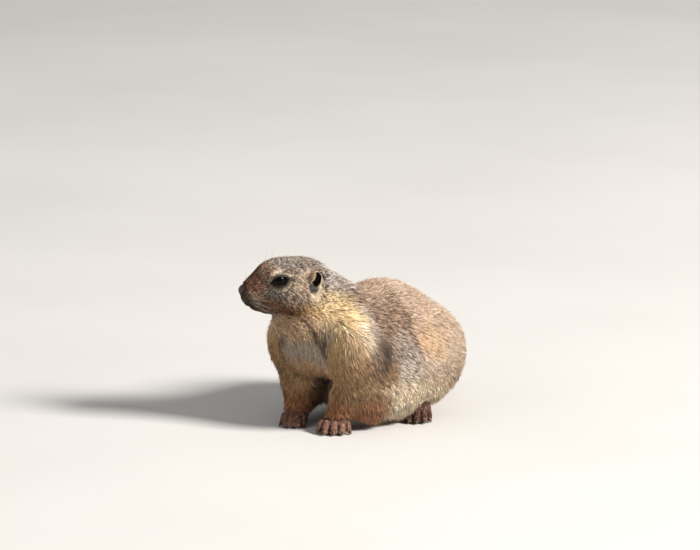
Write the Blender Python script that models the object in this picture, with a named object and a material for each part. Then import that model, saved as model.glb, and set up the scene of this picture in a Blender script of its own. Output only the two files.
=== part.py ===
"""A life-size black-tailed prairie dog, crouched on all fours with its head turned to its right.

The animal faces -Y, its left side is towards +X and its feet stand on Z = 0. Sizes are in
millimetres, and MM turns them into metres where a mesh is made. Every surface is the outside of the
coat. The flesh is modelled whole, from rounded masses that flow into one another, and is then parted
into its nodes by thin cuts.
"""

import math

import bmesh
import bpy
import numpy as np
from mathutils import Euler, Matrix, Vector

MM = 0.001
GAP = 0.3  # left between the faces of neighbouring pieces
SMALL_STEP = 0.05  # over which the slope of a distance is measured
SIDES = {"left": 1, "right": -1}

# The trunk
BACK_HEIGHT = 101  # top of the back over the floor
CHEST_FRONT = -69
HAUNCH_WIDTH = 104  # across both haunches
BELLY_HEIGHT = 5  # floor to the lowest fur of the belly

# The head, measured in its own frame: u forward, v to its left, w up, from a point between the ears
HEAD_AT = (-6.4, -55, 104)
HEAD_TURN = -35  # degrees about Z, to the animal's right
HEAD_TOP = 20.8
LIP_FRONT = 50
NOSE_AT = (46.4, 0, -4.0)
NOSE_SIZE = (4.6, 5.0, 4.4)
NOSTRIL_AT = (49.6, 2.7, -5.2)
NOSTRIL_SIZE = (2.2, 0.8, 1.5)
EYE_AT = (24.2, 11.9, 5.4)
EYE_RADIUS = 6.2
EYE_OPENING = (12.4, 7.8)  # between the lids
EYE_TILT = 9  # degrees by which the back corner of the eye is raised
LID_THICKNESS = 1.0
EAR_AT = (-0.6, 16.6, 4.8)
EAR_SIZE = (5.2, 3.9, 7.8)  # half length, half depth and half height of the outer shell
EAR_HOLLOW = (2.9, 3.0, 5.8)
EAR_HOLLOW_FROM = (-0.7, 2.8, 0.5)  # its middle, from the middle of the ear
EAR_LEAN = -14  # degrees by which the top of the ear leans forward
MOUTH_LINE = ((34, -15.6), (38, -15.2), (45, -14.8), (60, -14.2))  # u and w, from its corner forward
MOUTH_GAP = 0.6

# The planes between head, neck and torso: a point on each and the direction that faces forward
HEAD_PLANE = ((0, 0, 132), (-0.10, -0.62, 0.78))
NECK_PLANE = ((0, 0, 115.5), (0, -0.588, 0.809))

# Feet. A heading is in degrees, 0 straight ahead and more turning to the animal's left
FOREPAW_AT = {"left": (16, -53), "right": (-19.5, -58.5)}
FOREPAW_HEADING = {"left": 38, "right": 36}
FOREPAW_SPREAD = {"left": 1, "right": 0.74}
FOREPAW_HEIGHT = 13
HINDFOOT_AT = (32, 13)
HINDFOOT_HEADING = 44
HINDFOOT_HEIGHT = 24
HINDFOOT_SPREAD = 0.85
# Each digit: how far across the foot it starts, the way it points, its reach and its radius
FOREPAW_DIGITS = (
    (-6.9, -30, 8, 2.4), (-4.1, -12, 11.5, 2.7), (0, -3, 13, 2.9), (4.2, 7, 12.5, 2.8), (7.1, 24, 9, 2.5)
)
HINDFOOT_DIGITS = (
    (-6.8, -26, 9, 2.5), (-4, -10, 13, 2.8), (0, 0, 14.5, 2.9), (4, 10, 13, 2.8), (6.8, 26, 9, 2.5)
)
WRIST_HEIGHT = 12
ELBOW_HEIGHT = 30
FORE_CLAW = 3.8  # length of a claw past the tip of its digit
HIND_CLAW = 3.4
CLAW_THICKNESS = 2.4
CLAW_SIDES = 5
CLAW_TAPER = ((0, 1), (0.4, 0.85), (0.75, 0.5))  # share of its length, and of its thickness there
CLAW_TIP_HEIGHT = 0.25
FOOT_ROOM = 0.9  # between a hind foot and the fur above it
SOLE_DEPTH = 0.8  # how far the rounded underside of a foot or tail is cut off flat

# The tail lies on the floor and curls to the animal's right
TAIL_ROOT = (0, 64)
TAIL_LENGTH = 74
TAIL_THICKNESS = 17
TAIL_FROM = 68.5  # Y of the cut between torso and tail
TAIL_TIP_FROM = -44  # X of the cut between the tail and its black tip

# The rounded cells that part the legs from the torso: a middle and half sizes, on the left side
THIGH_CELL = ((36, 20, 34), (27, 38, 36))
UPPER_FORELEG_CELL = ((34, -42, 47), (24, 24, 28))

# Triangles kept on each fused surface, and rings of the rounded cutters
TRIANGLES = {"head": 2500, "torso": 2500, "forepaw": 900, "hindfoot": 700, "hollow": 360}
LARGE_RINGS = (18, 10)
EAR_RINGS = (14, 8)
NOSE_RINGS = (12, 8)
NOSTRIL_RINGS = (8, 6)

COLOURS = {
    "coat": (0.52, 0.38, 0.25),
    "black_tip": (0.06, 0.045, 0.035),
    "muddy_skin": (0.30, 0.15, 0.10),
    "claw": (0.07, 0.055, 0.05),
    "eye": (0.006, 0.006, 0.007),
    "nose": (0.13, 0.10, 0.09),
}
ROUGHNESS = {"coat": 0.85, "black_tip": 0.8, "muddy_skin": 0.9, "claw": 0.4, "eye": 0.04, "nose": 0.55}


def clear_scene():
    for obj in list(bpy.data.objects):
        bpy.data.objects.remove(obj)


def material(kind):
    found = bpy.data.materials.get(kind)
    if found:
        return found
    made = bpy.data.materials.new(kind)
    made.use_nodes = True
    shader = made.node_tree.nodes["Principled BSDF"]
    shader.inputs["Base Color"].default_value = (*COLOURS[kind], 1)
    shader.inputs["Roughness"].default_value = ROUGHNESS[kind]
    made.diffuse_color = (*COLOURS[kind], 1)
    return made


def placed(where, turn=(0, 0, 0)):
    return Matrix.Translation(where) @ Euler([math.radians(a) for a in turn]).to_matrix().to_4x4()


def head_frame():
    """Takes u, v, w of the head to the body's X, Y, Z."""
    facing_front = Matrix.Rotation(math.radians(-90 + HEAD_TURN), 4, "Z")
    return Matrix.Translation(HEAD_AT) @ facing_front


BODY = Matrix.Identity(4)
HEAD = head_frame()


class Masses:
    """Ellipsoids and limbs that blend into one another over a distance of about softness."""

    def __init__(self, softness, frame=BODY):
        self.softness, self.frame, self.shapes = softness, frame, []

    def ball(self, centre, radii, turn=(0, 0, 0)):
        self.shapes.append(("ball", self.frame @ placed(centre, turn), np.array(radii, float)))

    def pair(self, centre, radii, turn=(0, 0, 0), across=0):
        """The same ball on both sides of the middle plane. across is the axis that crosses that plane."""
        for side in SIDES.values():
            there = [c * side if axis == across else c for axis, c in enumerate(centre)]
            turned = [a if axis == across else a * side for axis, a in enumerate(turn)]
            self.ball(there, radii, turned)

    def limb(self, stations):
        """A rounded limb along a smooth line through (x, y, z, radius) stations."""
        line = [(self.frame @ Vector(s[:3]), s[3]) for s in smooth_line(stations)]
        self.shapes.append(("limb", [place for place, _ in line], [radius for _, radius in line]))

    def distance(self, points):
        """How far each point lies outside the blended masses, in millimetres, and less than 0 inside."""
        each = [shape_distance(shape, points) for shape in self.shapes]
        return soft_least(each, self.softness)

    def add_to(self, mesh):
        """Adds each shape to a bmesh as closed balls, in metres."""
        to_metres = Matrix.Scale(MM, 4)
        for kind, frame, size in self.shapes:
            balls = [(frame, size)] if kind == "ball" else [
                (Matrix.Translation(place), (radius,) * 3) for place, radius in zip(frame, size)
            ]
            for where, radii in balls:
                matrix = to_metres @ where @ Matrix.Diagonal((*radii, 1))
                bmesh.ops.create_icosphere(mesh, subdivisions=3, radius=1, matrix=matrix)


def shape_distance(shape, points):
    kind, frame, size = shape
    if kind == "ball":
        into = np.array(frame.inverted())
        local = points @ into[:3, :3].T + into[:3, 3]
        scaled = np.linalg.norm(local / size, axis=1)
        return scaled * (scaled - 1) / np.maximum(np.linalg.norm(local / size**2, axis=1), 1e-9)
    least = np.full(len(points), np.inf)
    for start, end, thick, thin in zip(frame, frame[1:], size, size[1:]):
        start, along = np.array(start), np.array(end - start)
        share = np.clip((points - start) @ along / (along @ along), 0, 1)
        reach = np.linalg.norm(points - start - share[:, None] * along, axis=1)
        least = np.minimum(least, reach - (thick + (thin - thick) * share))
    return least


def soft_least(distances, softness):
    """The least of several distances, rounded off where two are nearly equal."""
    stack = np.array(distances)
    low = stack.min(0)
    return low - softness * np.log(np.exp((low - stack) / softness).sum(0))


def smooth_line(stations, steps=4):
    """Catmull-Rom points through the stations, ends included."""
    rows = [Vector(s) for s in stations]
    rows = [rows[0] * 2 - rows[1], *rows, rows[-1] * 2 - rows[-2]]
    line = []
    for a, b, c, d in zip(rows, rows[1:], rows[2:], rows[3:]):
        for step in range(steps):
            t = step / steps
            bend = (2 * a - 5 * b + 4 * c - d) * t**2 + (3 * b - a - 3 * c + d) * t**3
            line.append(0.5 * (2 * b + (c - a) * t + bend))
    return [*line, rows[-2]]


def new_object(name, shape, kind="coat"):
    mesh = bpy.data.meshes.new(name)
    shape.to_mesh(mesh)
    shape.free()
    obj = bpy.data.objects.new(name, mesh)
    obj.data.materials.append(material(kind))
    bpy.context.scene.collection.objects.link(obj)
    return obj


def apply_modifiers(obj):
    graph = bpy.context.evaluated_depsgraph_get()
    made = bpy.data.meshes.new_from_object(obj.evaluated_get(graph))
    obj.modifiers.clear()
    was, obj.data = obj.data, made
    bpy.data.meshes.remove(was)
    return obj


def settle(mesh, distance, rounds=5):
    """Moves each vertex onto the surface where distance is zero, evening out the mesh on the way."""
    count = len(mesh.vertices)
    places = np.empty(count * 3)
    mesh.vertices.foreach_get("co", places)
    places = places.reshape(-1, 3) / MM
    ends = np.empty(len(mesh.edges) * 2, int)
    mesh.edges.foreach_get("vertices", ends)
    ends = ends.reshape(-1, 2)
    both = np.concatenate([ends, ends[:, ::-1]])
    near = np.bincount(both[:, 0], minlength=count)
    for turn in range(rounds):
        if turn < rounds - 2:
            mean = [np.bincount(both[:, 0], places[both[:, 1], axis], count) / near for axis in range(3)]
            places += 0.6 * (np.stack(mean, 1) - places)
        off = distance(places)
        slope = np.stack([distance(places + step) - off for step in np.eye(3) * SMALL_STEP], 1) / SMALL_STEP
        steep = np.maximum((slope**2).sum(1), 0.1)[:, None]
        places -= slope / steep * np.clip(off, -3, 3)[:, None]
    mesh.vertices.foreach_set("co", (places * MM).ravel())
    mesh.update()


def fused(name, seeds, groups, voxel, triangles, softness=0.5, swell=0, kind="coat"):
    """One closed surface round groups of masses, of about this many triangles.

    The seeds are the masses that the mesh is started from, and swell grows the whole outward.
    """
    shape = bmesh.new()
    for group in seeds:
        group.add_to(shape)
    obj = new_object(name, shape, kind)
    remesh = obj.modifiers.new("fuse", "REMESH")
    remesh.mode, remesh.voxel_size, remesh.adaptivity = "VOXEL", voxel * MM, 0
    apply_modifiers(obj)
    settle(obj.data, lambda points: soft_least([g.distance(points) for g in groups], softness) - swell)
    obj.modifiers.new("even", "TRIANGULATE")
    fewer = obj.modifiers.new("fewer", "DECIMATE")
    fewer.ratio = min(1, triangles / (2 * len(obj.data.polygons)))
    return apply_modifiers(obj)


def combine(obj, other, operation, keep_other=False):
    """Applies one Boolean, and keeps only the largest closed surface."""
    cut = obj.modifiers.new("cut", "BOOLEAN")
    cut.operation, cut.object, cut.solver = operation, other, "EXACT"
    apply_modifiers(obj)
    if not keep_other:
        bpy.data.objects.remove(other)
    return keep_largest(obj)


def keep_largest(obj):
    shape = bmesh.new()
    shape.from_mesh(obj.data)
    left, groups = set(shape.verts), []
    while left:
        group, edge = set(), [left.pop()]
        while edge:
            vert = edge.pop()
            group.add(vert)
            near = {e.other_vert(vert) for e in vert.link_edges} & left
            left -= near
            edge.extend(near)
        groups.append(group)
    groups.sort(key=len)
    for group in groups[:-1]:
        bmesh.ops.delete(shape, geom=list(group), context="VERTS")
    shape.to_mesh(obj.data)
    shape.free()
    return obj


def copy_of(obj, name):
    made = obj.copy()
    made.data = obj.data.copy()
    made.name = name
    bpy.context.scene.collection.objects.link(made)
    return made


def sliced(obj, point, normal, shift):
    """What lies behind a plane, with the cut closed. The plane is moved back by shift."""
    normal = Vector(normal).normalized()
    point = Vector(point) - normal * shift
    shape = bmesh.new()
    shape.from_mesh(obj.data)
    everything = [*shape.verts, *shape.edges, *shape.faces]
    bmesh.ops.bisect_plane(
        shape, geom=everything, plane_co=point * MM, plane_no=normal, clear_outer=True, dist=1e-6
    )
    rim = [edge for edge in shape.edges if edge.is_boundary]
    bmesh.ops.holes_fill(shape, edges=rim, sides=0)
    bmesh.ops.triangulate(shape, faces=[f for f in shape.faces if len(f.verts) > 3])
    shape.to_mesh(obj.data)
    shape.free()
    return keep_largest(obj)


def split_by_plane(obj, front_name, point, normal):
    """Parts obj in two along a plane, GAP apart. Returns what lies in front as a new object."""
    front = copy_of(obj, front_name)
    sliced(front, point, [-x for x in normal], GAP / 2)
    sliced(obj, point, normal, GAP / 2)
    return front


def ellipsoid(name, centre, radii, swell=0, frame=BODY, turn=(0, 0, 0), rings=LARGE_RINGS, kind="coat"):
    shape = bmesh.new()
    size = Matrix.Diagonal((*(r + swell for r in radii), 1))
    matrix = Matrix.Scale(MM, 4) @ frame @ placed(centre, turn) @ size
    bmesh.ops.create_uvsphere(shape, u_segments=rings[0], v_segments=rings[1], radius=1, matrix=matrix)
    bmesh.ops.triangulate(shape, faces=shape.faces)
    return new_object(name, shape, kind)


def prism(name, outline, depth, swell=0, frame=BODY):
    """An outline in the frame's first two axes, drawn out over depth along the third."""
    middle = Vector([sum(c) / len(outline) for c in zip(*outline)])
    grown = []
    for corner in outline:
        out = Vector(corner) - middle
        grown.append(middle + out * (1 + swell / out.length))
    shape = bmesh.new()
    low, high = ([shape.verts.new(frame @ Vector((*c, d)) * MM) for c in grown] for d in depth)
    shape.faces.new(low[::-1])
    shape.faces.new(high)
    for a, b, c, d in zip(low, low[1:] + low[:1], high[1:] + high[:1], high):
        shape.faces.new((a, b, c, d))
    bmesh.ops.recalc_face_normals(shape, faces=shape.faces)
    bmesh.ops.triangulate(shape, faces=shape.faces)
    return new_object(name, shape)


def block(corner, opposite, swell=0):
    low, high = zip(*(sorted(ends) for ends in zip(corner, opposite)))
    (x, y, z), (xx, yy, zz) = (c - swell for c in low), (c + swell for c in high)
    return prism("block", ((x, y), (xx, y), (xx, yy), (x, yy)), (z, zz))


def split_by_shape(obj, inner_name, shape_of):
    """Parts obj in two by a closed shape, GAP apart. Returns what lies inside as a new object."""
    inner = copy_of(obj, inner_name)
    combine(inner, shape_of(-GAP / 2), "INTERSECT")
    combine(obj, shape_of(GAP / 2), "DIFFERENCE")
    return inner


def trunk_masses():
    trunk = Masses(softness=4.5)
    trunk.ball((0, 25, 49), (43, 38, 38))
    trunk.ball((0, 8, BACK_HEIGHT - 37), (33, 36, 34), (-8, 0, 0))
    trunk.ball((0, 12, BELLY_HEIGHT + 27), (36, 34, 26))
    trunk.ball((0, CHEST_FRONT + 29, 65), (36, 28, 26))
    trunk.ball((0, -22, 62), (35, 32, 31))
    haunch_out = HAUNCH_WIDTH / 2
    trunk.pair((haunch_out - 21, 26.5, 45), (19, 32, 33))
    trunk.pair((haunch_out - 22, -8, 24), (18, 19, 17))
    trunk.pair((26, -14, 46), (17, 24, 26))
    trunk.pair((30.5, -49, 60), (18, 18, 23))
    return trunk


def foreleg_masses(side, elbow=True):
    leg = Masses(softness=3)
    x, y = FOREPAW_AT[side]
    out = SIDES[side]
    leg.limb([
        (28 * out, y + 12, 50, 18),
        (27 * out, y + 13, 36, 15),
        (x + 3 * out, y + 8, 22, 12),
        (x, y + 3, 10, 8.5),
        (x, y + 2, 4, 8),
    ])
    if elbow:
        leg.ball((31 * out, y + 23, 22), (13, 16, 14))
    return leg


def neck_masses():
    neck = Masses(softness=3)
    neck.limb([(0, -24, 62, 29), (-1, -36, 74, 28), (-3, -43, 86, 24), (-6, -50, 95, 19)])
    neck.ball((-10, -60, 75), (25, 17, 19))
    return neck


def head_masses():
    head = Masses(softness=1.8, frame=HEAD)
    head.ball((9, 0, 1.5), (22, 18.5, HEAD_TOP - 3.5))
    head.ball((22, 0, 5), (17, 14, 14))
    head.limb([(28, 0, 0.5, 13.5), (36, 0, -1.5, 10.5), (43, 0, -3.5, 7)])
    head.pair((LIP_FRONT - 8, 3.8, -7.5), (7.5, 5.8, 7), across=1)
    head.limb([(14, 0, -8, 11), (28, 0, -12.5, 8.5), (38, 0, -14.5, 4.5)])
    head.pair((10, 11, -7), (17, 12, 13), across=1)
    head.pair((22, 10, 11), (10, 5.5, 4.5), across=1)
    return head


def tail_masses():
    x, y = TAIL_ROOT
    half = TAIL_THICKNESS / 2
    reach = TAIL_LENGTH
    tail = Masses(softness=3)
    tail.limb([
        (x, y - 16, 16, half + 4),
        (x - 3, y + 4, half + 2, half + 1),
        (x - 0.20 * reach, y + 0.20 * reach, half - SOLE_DEPTH, half),
        (x - 0.50 * reach, y + 0.26 * reach, half - SOLE_DEPTH, half),
        (x - 0.80 * reach, y + 0.20 * reach, half - 1 - SOLE_DEPTH, half - 1),
        (x - 0.97 * reach, y + 0.10 * reach, half - 4.5 - SOLE_DEPTH, half - 4.5),
    ])
    return tail


def standing(at, heading):
    """The frame of a foot: its first axis to the left of its heading, its second backwards."""
    return placed((*at, 0), (0, 0, heading))


def digit_frame(digit):
    """Where a digit starts in its foot's frame, turned to the way it points."""
    across, heading, *_ = digit
    return placed((across, 0, 0), (0, 0, heading))


def digit_line(digit, height):
    """Stations of one digit in the foot's own frame, from inside the foot over the knuckle to the tip."""
    _, _, reach, radius = digit
    steps = (
        (0, height * 0.42, 1.1), (0.45, height * 0.5, 1.12), (0.8, height * 0.34, 0.98),
        (1, radius - SOLE_DEPTH, 0.95),
    )
    start = digit_frame(digit)
    return [(*(start @ Vector((0, -reach * far, z))), radius * wide) for far, z, wide in steps]


def held(digit, side, spread):
    """A digit as the foot of that side holds it, closer to its neighbours with a smaller spread."""
    across, heading, *rest = digit
    return across * side * spread, heading * side * spread, *rest


def foot_masses(frame, digits, palm, height):
    foot = Masses(softness=0.45, frame=frame)
    foot.ball((0, 2.5, height * 0.36), (palm, 9, height * 0.5))
    for digit in digits:
        foot.limb(digit_line(digit, height))
    return foot


def claw(name, frame, digit, length, swell=0):
    """A curved, tapering claw that starts inside the tip of a digit."""
    _, _, reach, radius = digit
    away = frame @ digit_frame(digit)
    shape = bmesh.new()
    rings = []
    for far, wide in CLAW_TAPER:
        out = reach + length * far - (swell if far == 0 else 0)
        centre = Vector((0, -out, radius * (0.95 - 0.8 * far**2)))
        half = CLAW_THICKNESS / 2 * wide + swell
        ring = []
        for side in range(CLAW_SIDES):
            angle = math.tau * side / CLAW_SIDES
            offset = Vector((math.cos(angle), 0, 1.1 * math.sin(angle))) * half
            ring.append(shape.verts.new(away @ (centre + offset) * MM))
        rings.append(ring)
    tip = shape.verts.new(away @ Vector((0, -reach - length - swell, CLAW_TIP_HEIGHT + swell)) * MM)
    shape.faces.new(rings[0])
    for near, far in zip(rings, rings[1:]):
        for a, b, c, d in zip(near, near[1:] + near[:1], far[1:] + far[:1], far):
            shape.faces.new((a, b, c, d))
    for a, b in zip(rings[-1], rings[-1][1:] + rings[-1][:1]):
        shape.faces.new((a, b, tip))
    bmesh.ops.recalc_face_normals(shape, faces=shape.faces)
    bmesh.ops.triangulate(shape, faces=shape.faces)
    return new_object(name, shape, "claw")


def add_claws(foot, frame, digits, length):
    for number, digit in enumerate(digits, 1):
        combine(foot, claw("hollow", frame, digit, length, GAP), "DIFFERENCE")
        claw(f"{foot.name}_claw_{number}", frame, digit, length)


def below_wrist(side, swell):
    """The room of a forepaw: all that lies lower than the wrist and in front of the elbow."""
    x, y = FOREPAW_AT[side]
    return block((x - 30, y - 40, -20), (x + 30, y + 14, WRIST_HEIGHT), swell)


def cell(shape, out, swell):
    (x, y, z), half = shape
    return ellipsoid("cell", (x * out, y, z), half, swell)


def forepaw(side):
    frame = standing(FOREPAW_AT[side], FOREPAW_HEADING[side])
    digits = [held(digit, -SIDES[side], FOREPAW_SPREAD[side]) for digit in FOREPAW_DIGITS]
    paw = foot_masses(frame, digits, 8, FOREPAW_HEIGHT)
    leg = foreleg_masses(side, elbow=False)
    both = [paw, leg]
    foot = fused(f"{side}_forepaw", both, both, 0.7, TRIANGLES["forepaw"], 0.8, kind="muddy_skin")
    combine(foot, below_wrist(side, -GAP / 2), "INTERSECT")
    sliced(foot, (0, 0, 0), (0, 0, -1), 0)
    add_claws(foot, frame, digits, FORE_CLAW)


def hindfoot_masses(side):
    x, y = HINDFOOT_AT
    out = SIDES[side]
    frame = standing((x * out, y), HINDFOOT_HEADING * out)
    digits = [held(digit, out, HINDFOOT_SPREAD) for digit in HINDFOOT_DIGITS]
    foot = foot_masses(frame, digits, 8, HINDFOOT_HEIGHT)
    foot.limb([(0, 2, 9, 8.5), (0, 12, 8, 7), (0, 22, 5, 5.6)])
    return foot, frame, digits


def almond(width, height, corners=20):
    """The outline of an eye's opening, pointed at both ends."""
    outline = []
    for step in range(corners):
        angle = math.tau * step / corners
        rise = math.sin(angle) * abs(math.sin(angle)) ** 0.35
        outline.append((width / 2 * math.cos(angle), height / 2 * rise))
    return outline


def add_lids_and_eyes(head):
    """Each eye lies loose in a socket, under lids that leave an opening."""
    for side, out in SIDES.items():
        tilt = Matrix.Rotation(math.radians(EYE_TILT * out), 4, "Z")
        centre = (EYE_AT[0], EYE_AT[1] * out, EYE_AT[2])
        size = [EYE_RADIUS] * 3
        combine(head, ellipsoid("lids", centre, size, LID_THICKNESS, HEAD), "UNION")
        outwards = HEAD @ placed(centre, (-90 * out, 0, 0))
        socket = ellipsoid("socket", centre, size, GAP, HEAD)
        opening = prism("opening", almond(*EYE_OPENING), (0, 2 * EYE_RADIUS), frame=outwards @ tilt)
        combine(socket, opening, "UNION")
        combine(head, socket, "DIFFERENCE")
        ellipsoid(f"{side}_eye", centre, size, 0, HEAD, kind="eye")


def add_ears(head):
    for side, out in SIDES.items():
        centre = Vector((EAR_AT[0], EAR_AT[1] * out, EAR_AT[2]))
        turn = (0, EAR_LEAN, -12 * out)
        combine(head, ellipsoid("seat", centre, EAR_SIZE, GAP, HEAD, turn, EAR_RINGS), "DIFFERENCE")
        ear = ellipsoid(f"{side}_ear", centre, EAR_SIZE, 0, HEAD, turn, EAR_RINGS)
        back, outward, up = EAR_HOLLOW_FROM
        hollow = centre + Vector((back, outward * out, up))
        combine(ear, ellipsoid("hollow", hollow, EAR_HOLLOW, 0, HEAD, turn, EAR_RINGS), "DIFFERENCE")


def add_nose(head):
    combine(head, ellipsoid("hollow", NOSE_AT, NOSE_SIZE, GAP, HEAD, rings=NOSE_RINGS), "DIFFERENCE")
    nose = ellipsoid("nose", NOSE_AT, NOSE_SIZE, 0, HEAD, rings=NOSE_RINGS, kind="nose")
    for out in SIDES.values():
        centre = (NOSTRIL_AT[0], NOSTRIL_AT[1] * out, NOSTRIL_AT[2])
        turn = (0, 0, 25 * out)
        nostril = ellipsoid("nostril", centre, NOSTRIL_SIZE, 0, HEAD, turn, NOSTRIL_RINGS)
        combine(nose, nostril, "DIFFERENCE")


def split_jaw(head):
    """Cuts the lower jaw off along the line of the mouth."""
    sideways = HEAD @ Matrix(((1, 0, 0, 0), (0, 0, -1, 0), (0, 1, 0, 0), (0, 0, 0, 1)))

    def below_mouth(swell):
        lift = swell / (GAP / 2) * MOUTH_GAP / 2
        line = [(u, w + lift) for u, w in MOUTH_LINE]
        back = MOUTH_LINE[0][0] - lift
        outline = [(back, -40), (60, -40), *reversed([(back, line[0][1]), *line[1:]])]
        return prism("below_mouth", outline, (-30, 30), frame=sideways)

    return split_by_shape(head, "lower_jaw", below_mouth)


def stand_on_origin():
    """Hangs every piece on an empty that puts the middle of the underside at the origin."""
    pieces = list(bpy.data.objects)
    corners = [Vector(corner) for piece in pieces for corner in piece.bound_box]
    low = [min(corner[axis] for corner in corners) for axis in range(3)]
    high = [max(corner[axis] for corner in corners) for axis in range(3)]
    stand = bpy.data.objects.new("prairie_dog", None)
    stand.location = (-(low[0] + high[0]) / 2, -(low[1] + high[1]) / 2, -low[2])
    bpy.context.scene.collection.objects.link(stand)
    for piece in pieces:
        piece.parent = stand


def build():
    clear_scene()
    neck_groups, head_groups = [neck_masses()], [head_masses()]
    legs = [foreleg_masses(side) for side in SIDES]
    groups = [trunk_masses(), *neck_groups, *head_groups, tail_masses(), *legs]

    head = fused("head", head_groups + neck_groups, groups, 1.1, TRIANGLES["head"], 3)
    sliced(head, HEAD_PLANE[0], -Vector(HEAD_PLANE[1]), GAP / 2)
    torso = fused("torso", groups, groups, 1.8, TRIANGLES["torso"], 3)
    sliced(torso, *HEAD_PLANE, GAP / 2)
    split_by_plane(torso, "neck", *NECK_PLANE)

    tail = split_by_plane(torso, "tail", (0, TAIL_FROM, 0), (0, 1, 0))
    sliced(tail, (0, 0, 0), (0, 0, -1), 0)
    tip = split_by_plane(tail, "tail_tip", (TAIL_TIP_FROM, 0, 0), (-1, 0, 0))
    tip.data.materials[0] = material("black_tip")

    for side, out in SIDES.items():
        feet, frame, digits = hindfoot_masses(side)
        hollow = fused("hollow", [feet], [feet], 0.9, TRIANGLES["hollow"], swell=FOOT_ROOM)
        combine(torso, hollow, "DIFFERENCE")
        foot = fused(f"{side}_hindfoot", [feet], [feet], 0.7, TRIANGLES["hindfoot"], kind="muddy_skin")
        sliced(foot, (0, 0, 0), (0, 0, -1), 0)
        add_claws(foot, frame, digits, HIND_CLAW)
        split_by_shape(torso, f"{side}_thigh", lambda swell: cell(THIGH_CELL, out, swell))
        _, y = FOREPAW_AT[side]
        lower = split_by_shape(
            torso,
            f"{side}_lower_foreleg",
            lambda swell: block((7 * out, -90, -9), (60 * out, y + 28, ELBOW_HEIGHT), swell),
        )
        combine(lower, below_wrist(side, GAP / 2), "DIFFERENCE")
        split_by_shape(torso, f"{side}_upper_foreleg", lambda swell: cell(UPPER_FORELEG_CELL, out, swell))
        forepaw(side)

    split_jaw(head)
    add_lids_and_eyes(head)
    add_ears(head)
    add_nose(head)
    stand_on_origin()


build()
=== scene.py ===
"""A black-tailed prairie dog crouched on all fours: its skin, fur, eyes, nose, claws and muddy feet."""

import math

import bmesh
import bpy
import numpy as np
from mathutils import Euler, Matrix, Vector
from mathutils.bvhtree import BVHTree
from mathutils.kdtree import KDTree


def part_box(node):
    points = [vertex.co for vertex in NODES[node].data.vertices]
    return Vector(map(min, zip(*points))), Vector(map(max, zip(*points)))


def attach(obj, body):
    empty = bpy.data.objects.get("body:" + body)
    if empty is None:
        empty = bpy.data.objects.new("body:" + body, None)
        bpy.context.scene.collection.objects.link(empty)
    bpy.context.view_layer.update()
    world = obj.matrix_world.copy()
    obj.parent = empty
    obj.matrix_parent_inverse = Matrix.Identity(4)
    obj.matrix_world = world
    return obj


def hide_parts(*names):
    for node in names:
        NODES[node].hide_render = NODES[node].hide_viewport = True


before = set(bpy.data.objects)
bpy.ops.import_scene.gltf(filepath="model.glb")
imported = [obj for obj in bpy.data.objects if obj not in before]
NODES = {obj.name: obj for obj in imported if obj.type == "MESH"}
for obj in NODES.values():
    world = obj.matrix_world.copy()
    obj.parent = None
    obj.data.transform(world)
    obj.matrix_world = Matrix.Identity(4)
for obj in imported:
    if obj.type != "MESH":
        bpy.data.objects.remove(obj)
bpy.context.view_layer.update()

MM = 0.001
SIDES = {"left": 1, "right": -1}
CLAWS = sorted(name for name in NODES if "_claw_" in name)
FLESH = sorted(name for name in NODES if name not in CLAWS and "eye" not in name and name != "nose")

# Sizes that the solids were made from, in millimetres. The animal faces -Y and stands on Z = 0.
# The head has its own frame: u forward, v to its left, w up.
HEAD_AT = Vector((-6.4, -55, 104))
HEAD_TURN = -35
EYE_AT = (24.2, 11.9, 5.4)
EYE_RADIUS = 6.2
EYE_OPENING = (12.2, 7.0)
EYE_TILT = 9
GAZE = (0.18, 1, 0.05)
CORNEA = 0.05  # how far the front of an eye bulges, as a share of its radius
LID = 0.55  # how far the lids stand off the eyeball
EAR_AT = (-0.6, 16.6, 4.8)
EAR_TURN = (0, -14, -12)
NOSE_AT = (46.4, 0, -4.0)
NOSE_SIZE = (4.6, 5.0, 4.4)
MOUTH_LINE = ((30, -15.8), (34, -15.6), (38, -15.2), (45, -14.8), (60, -14.2))
TAIL_LINE = ((0, 48), (-3, 68), (-14.8, 78.8), (-37, 83.2), (-59.2, 78.8), (-74, 70))
FEET_AT = ((16, -53), (-19.5, -58.5), (32, 13), (-32, 13))

HEAD_TURNED = Matrix.Rotation(math.radians(-90 + HEAD_TURN), 3, "Z")
eye_low, eye_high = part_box("left_eye")
ORIGIN = (eye_low + eye_high) / 2 / MM - HEAD_TURNED @ Vector(EYE_AT) - HEAD_AT

random = np.random.default_rng(7)


# Places


def body_frame(places):
    """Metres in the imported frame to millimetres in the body's frame."""
    return places / MM - np.array(ORIGIN)


def head_frame(body):
    """The body's frame to the head's."""
    return (body - np.array(HEAD_AT)) @ np.array(HEAD_TURNED)


def from_head(point):
    """One point of the head's frame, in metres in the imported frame."""
    return (HEAD_TURNED @ Vector(point) + HEAD_AT + ORIGIN) * MM


def all_from_head(head):
    """Many points of the head's frame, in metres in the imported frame."""
    body = turned_from_head(head) + np.array(HEAD_AT)
    return (body + np.array(ORIGIN)) * MM


def to_side(point, out):
    """A point or a direction of the left side of the head, on the side that out says."""
    return Vector((point[0], point[1] * out, point[2]))


def turned_from_head(directions):
    return directions @ np.array(HEAD_TURNED).T


def eased(x, low, high):
    """0 below low, 1 above high, and smooth between."""
    t = np.clip((x - low) / (high - low), 0, 1)
    return t * t * (3 - 2 * t)


def faded(x, low, high):
    """1 below low, 0 above high, and smooth between."""
    return 1 - eased(x, low, high)


def ridge(x, width):
    """1 where x is 0, and falling off smoothly on both sides of it."""
    return np.exp(-((x / width) ** 2))


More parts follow.
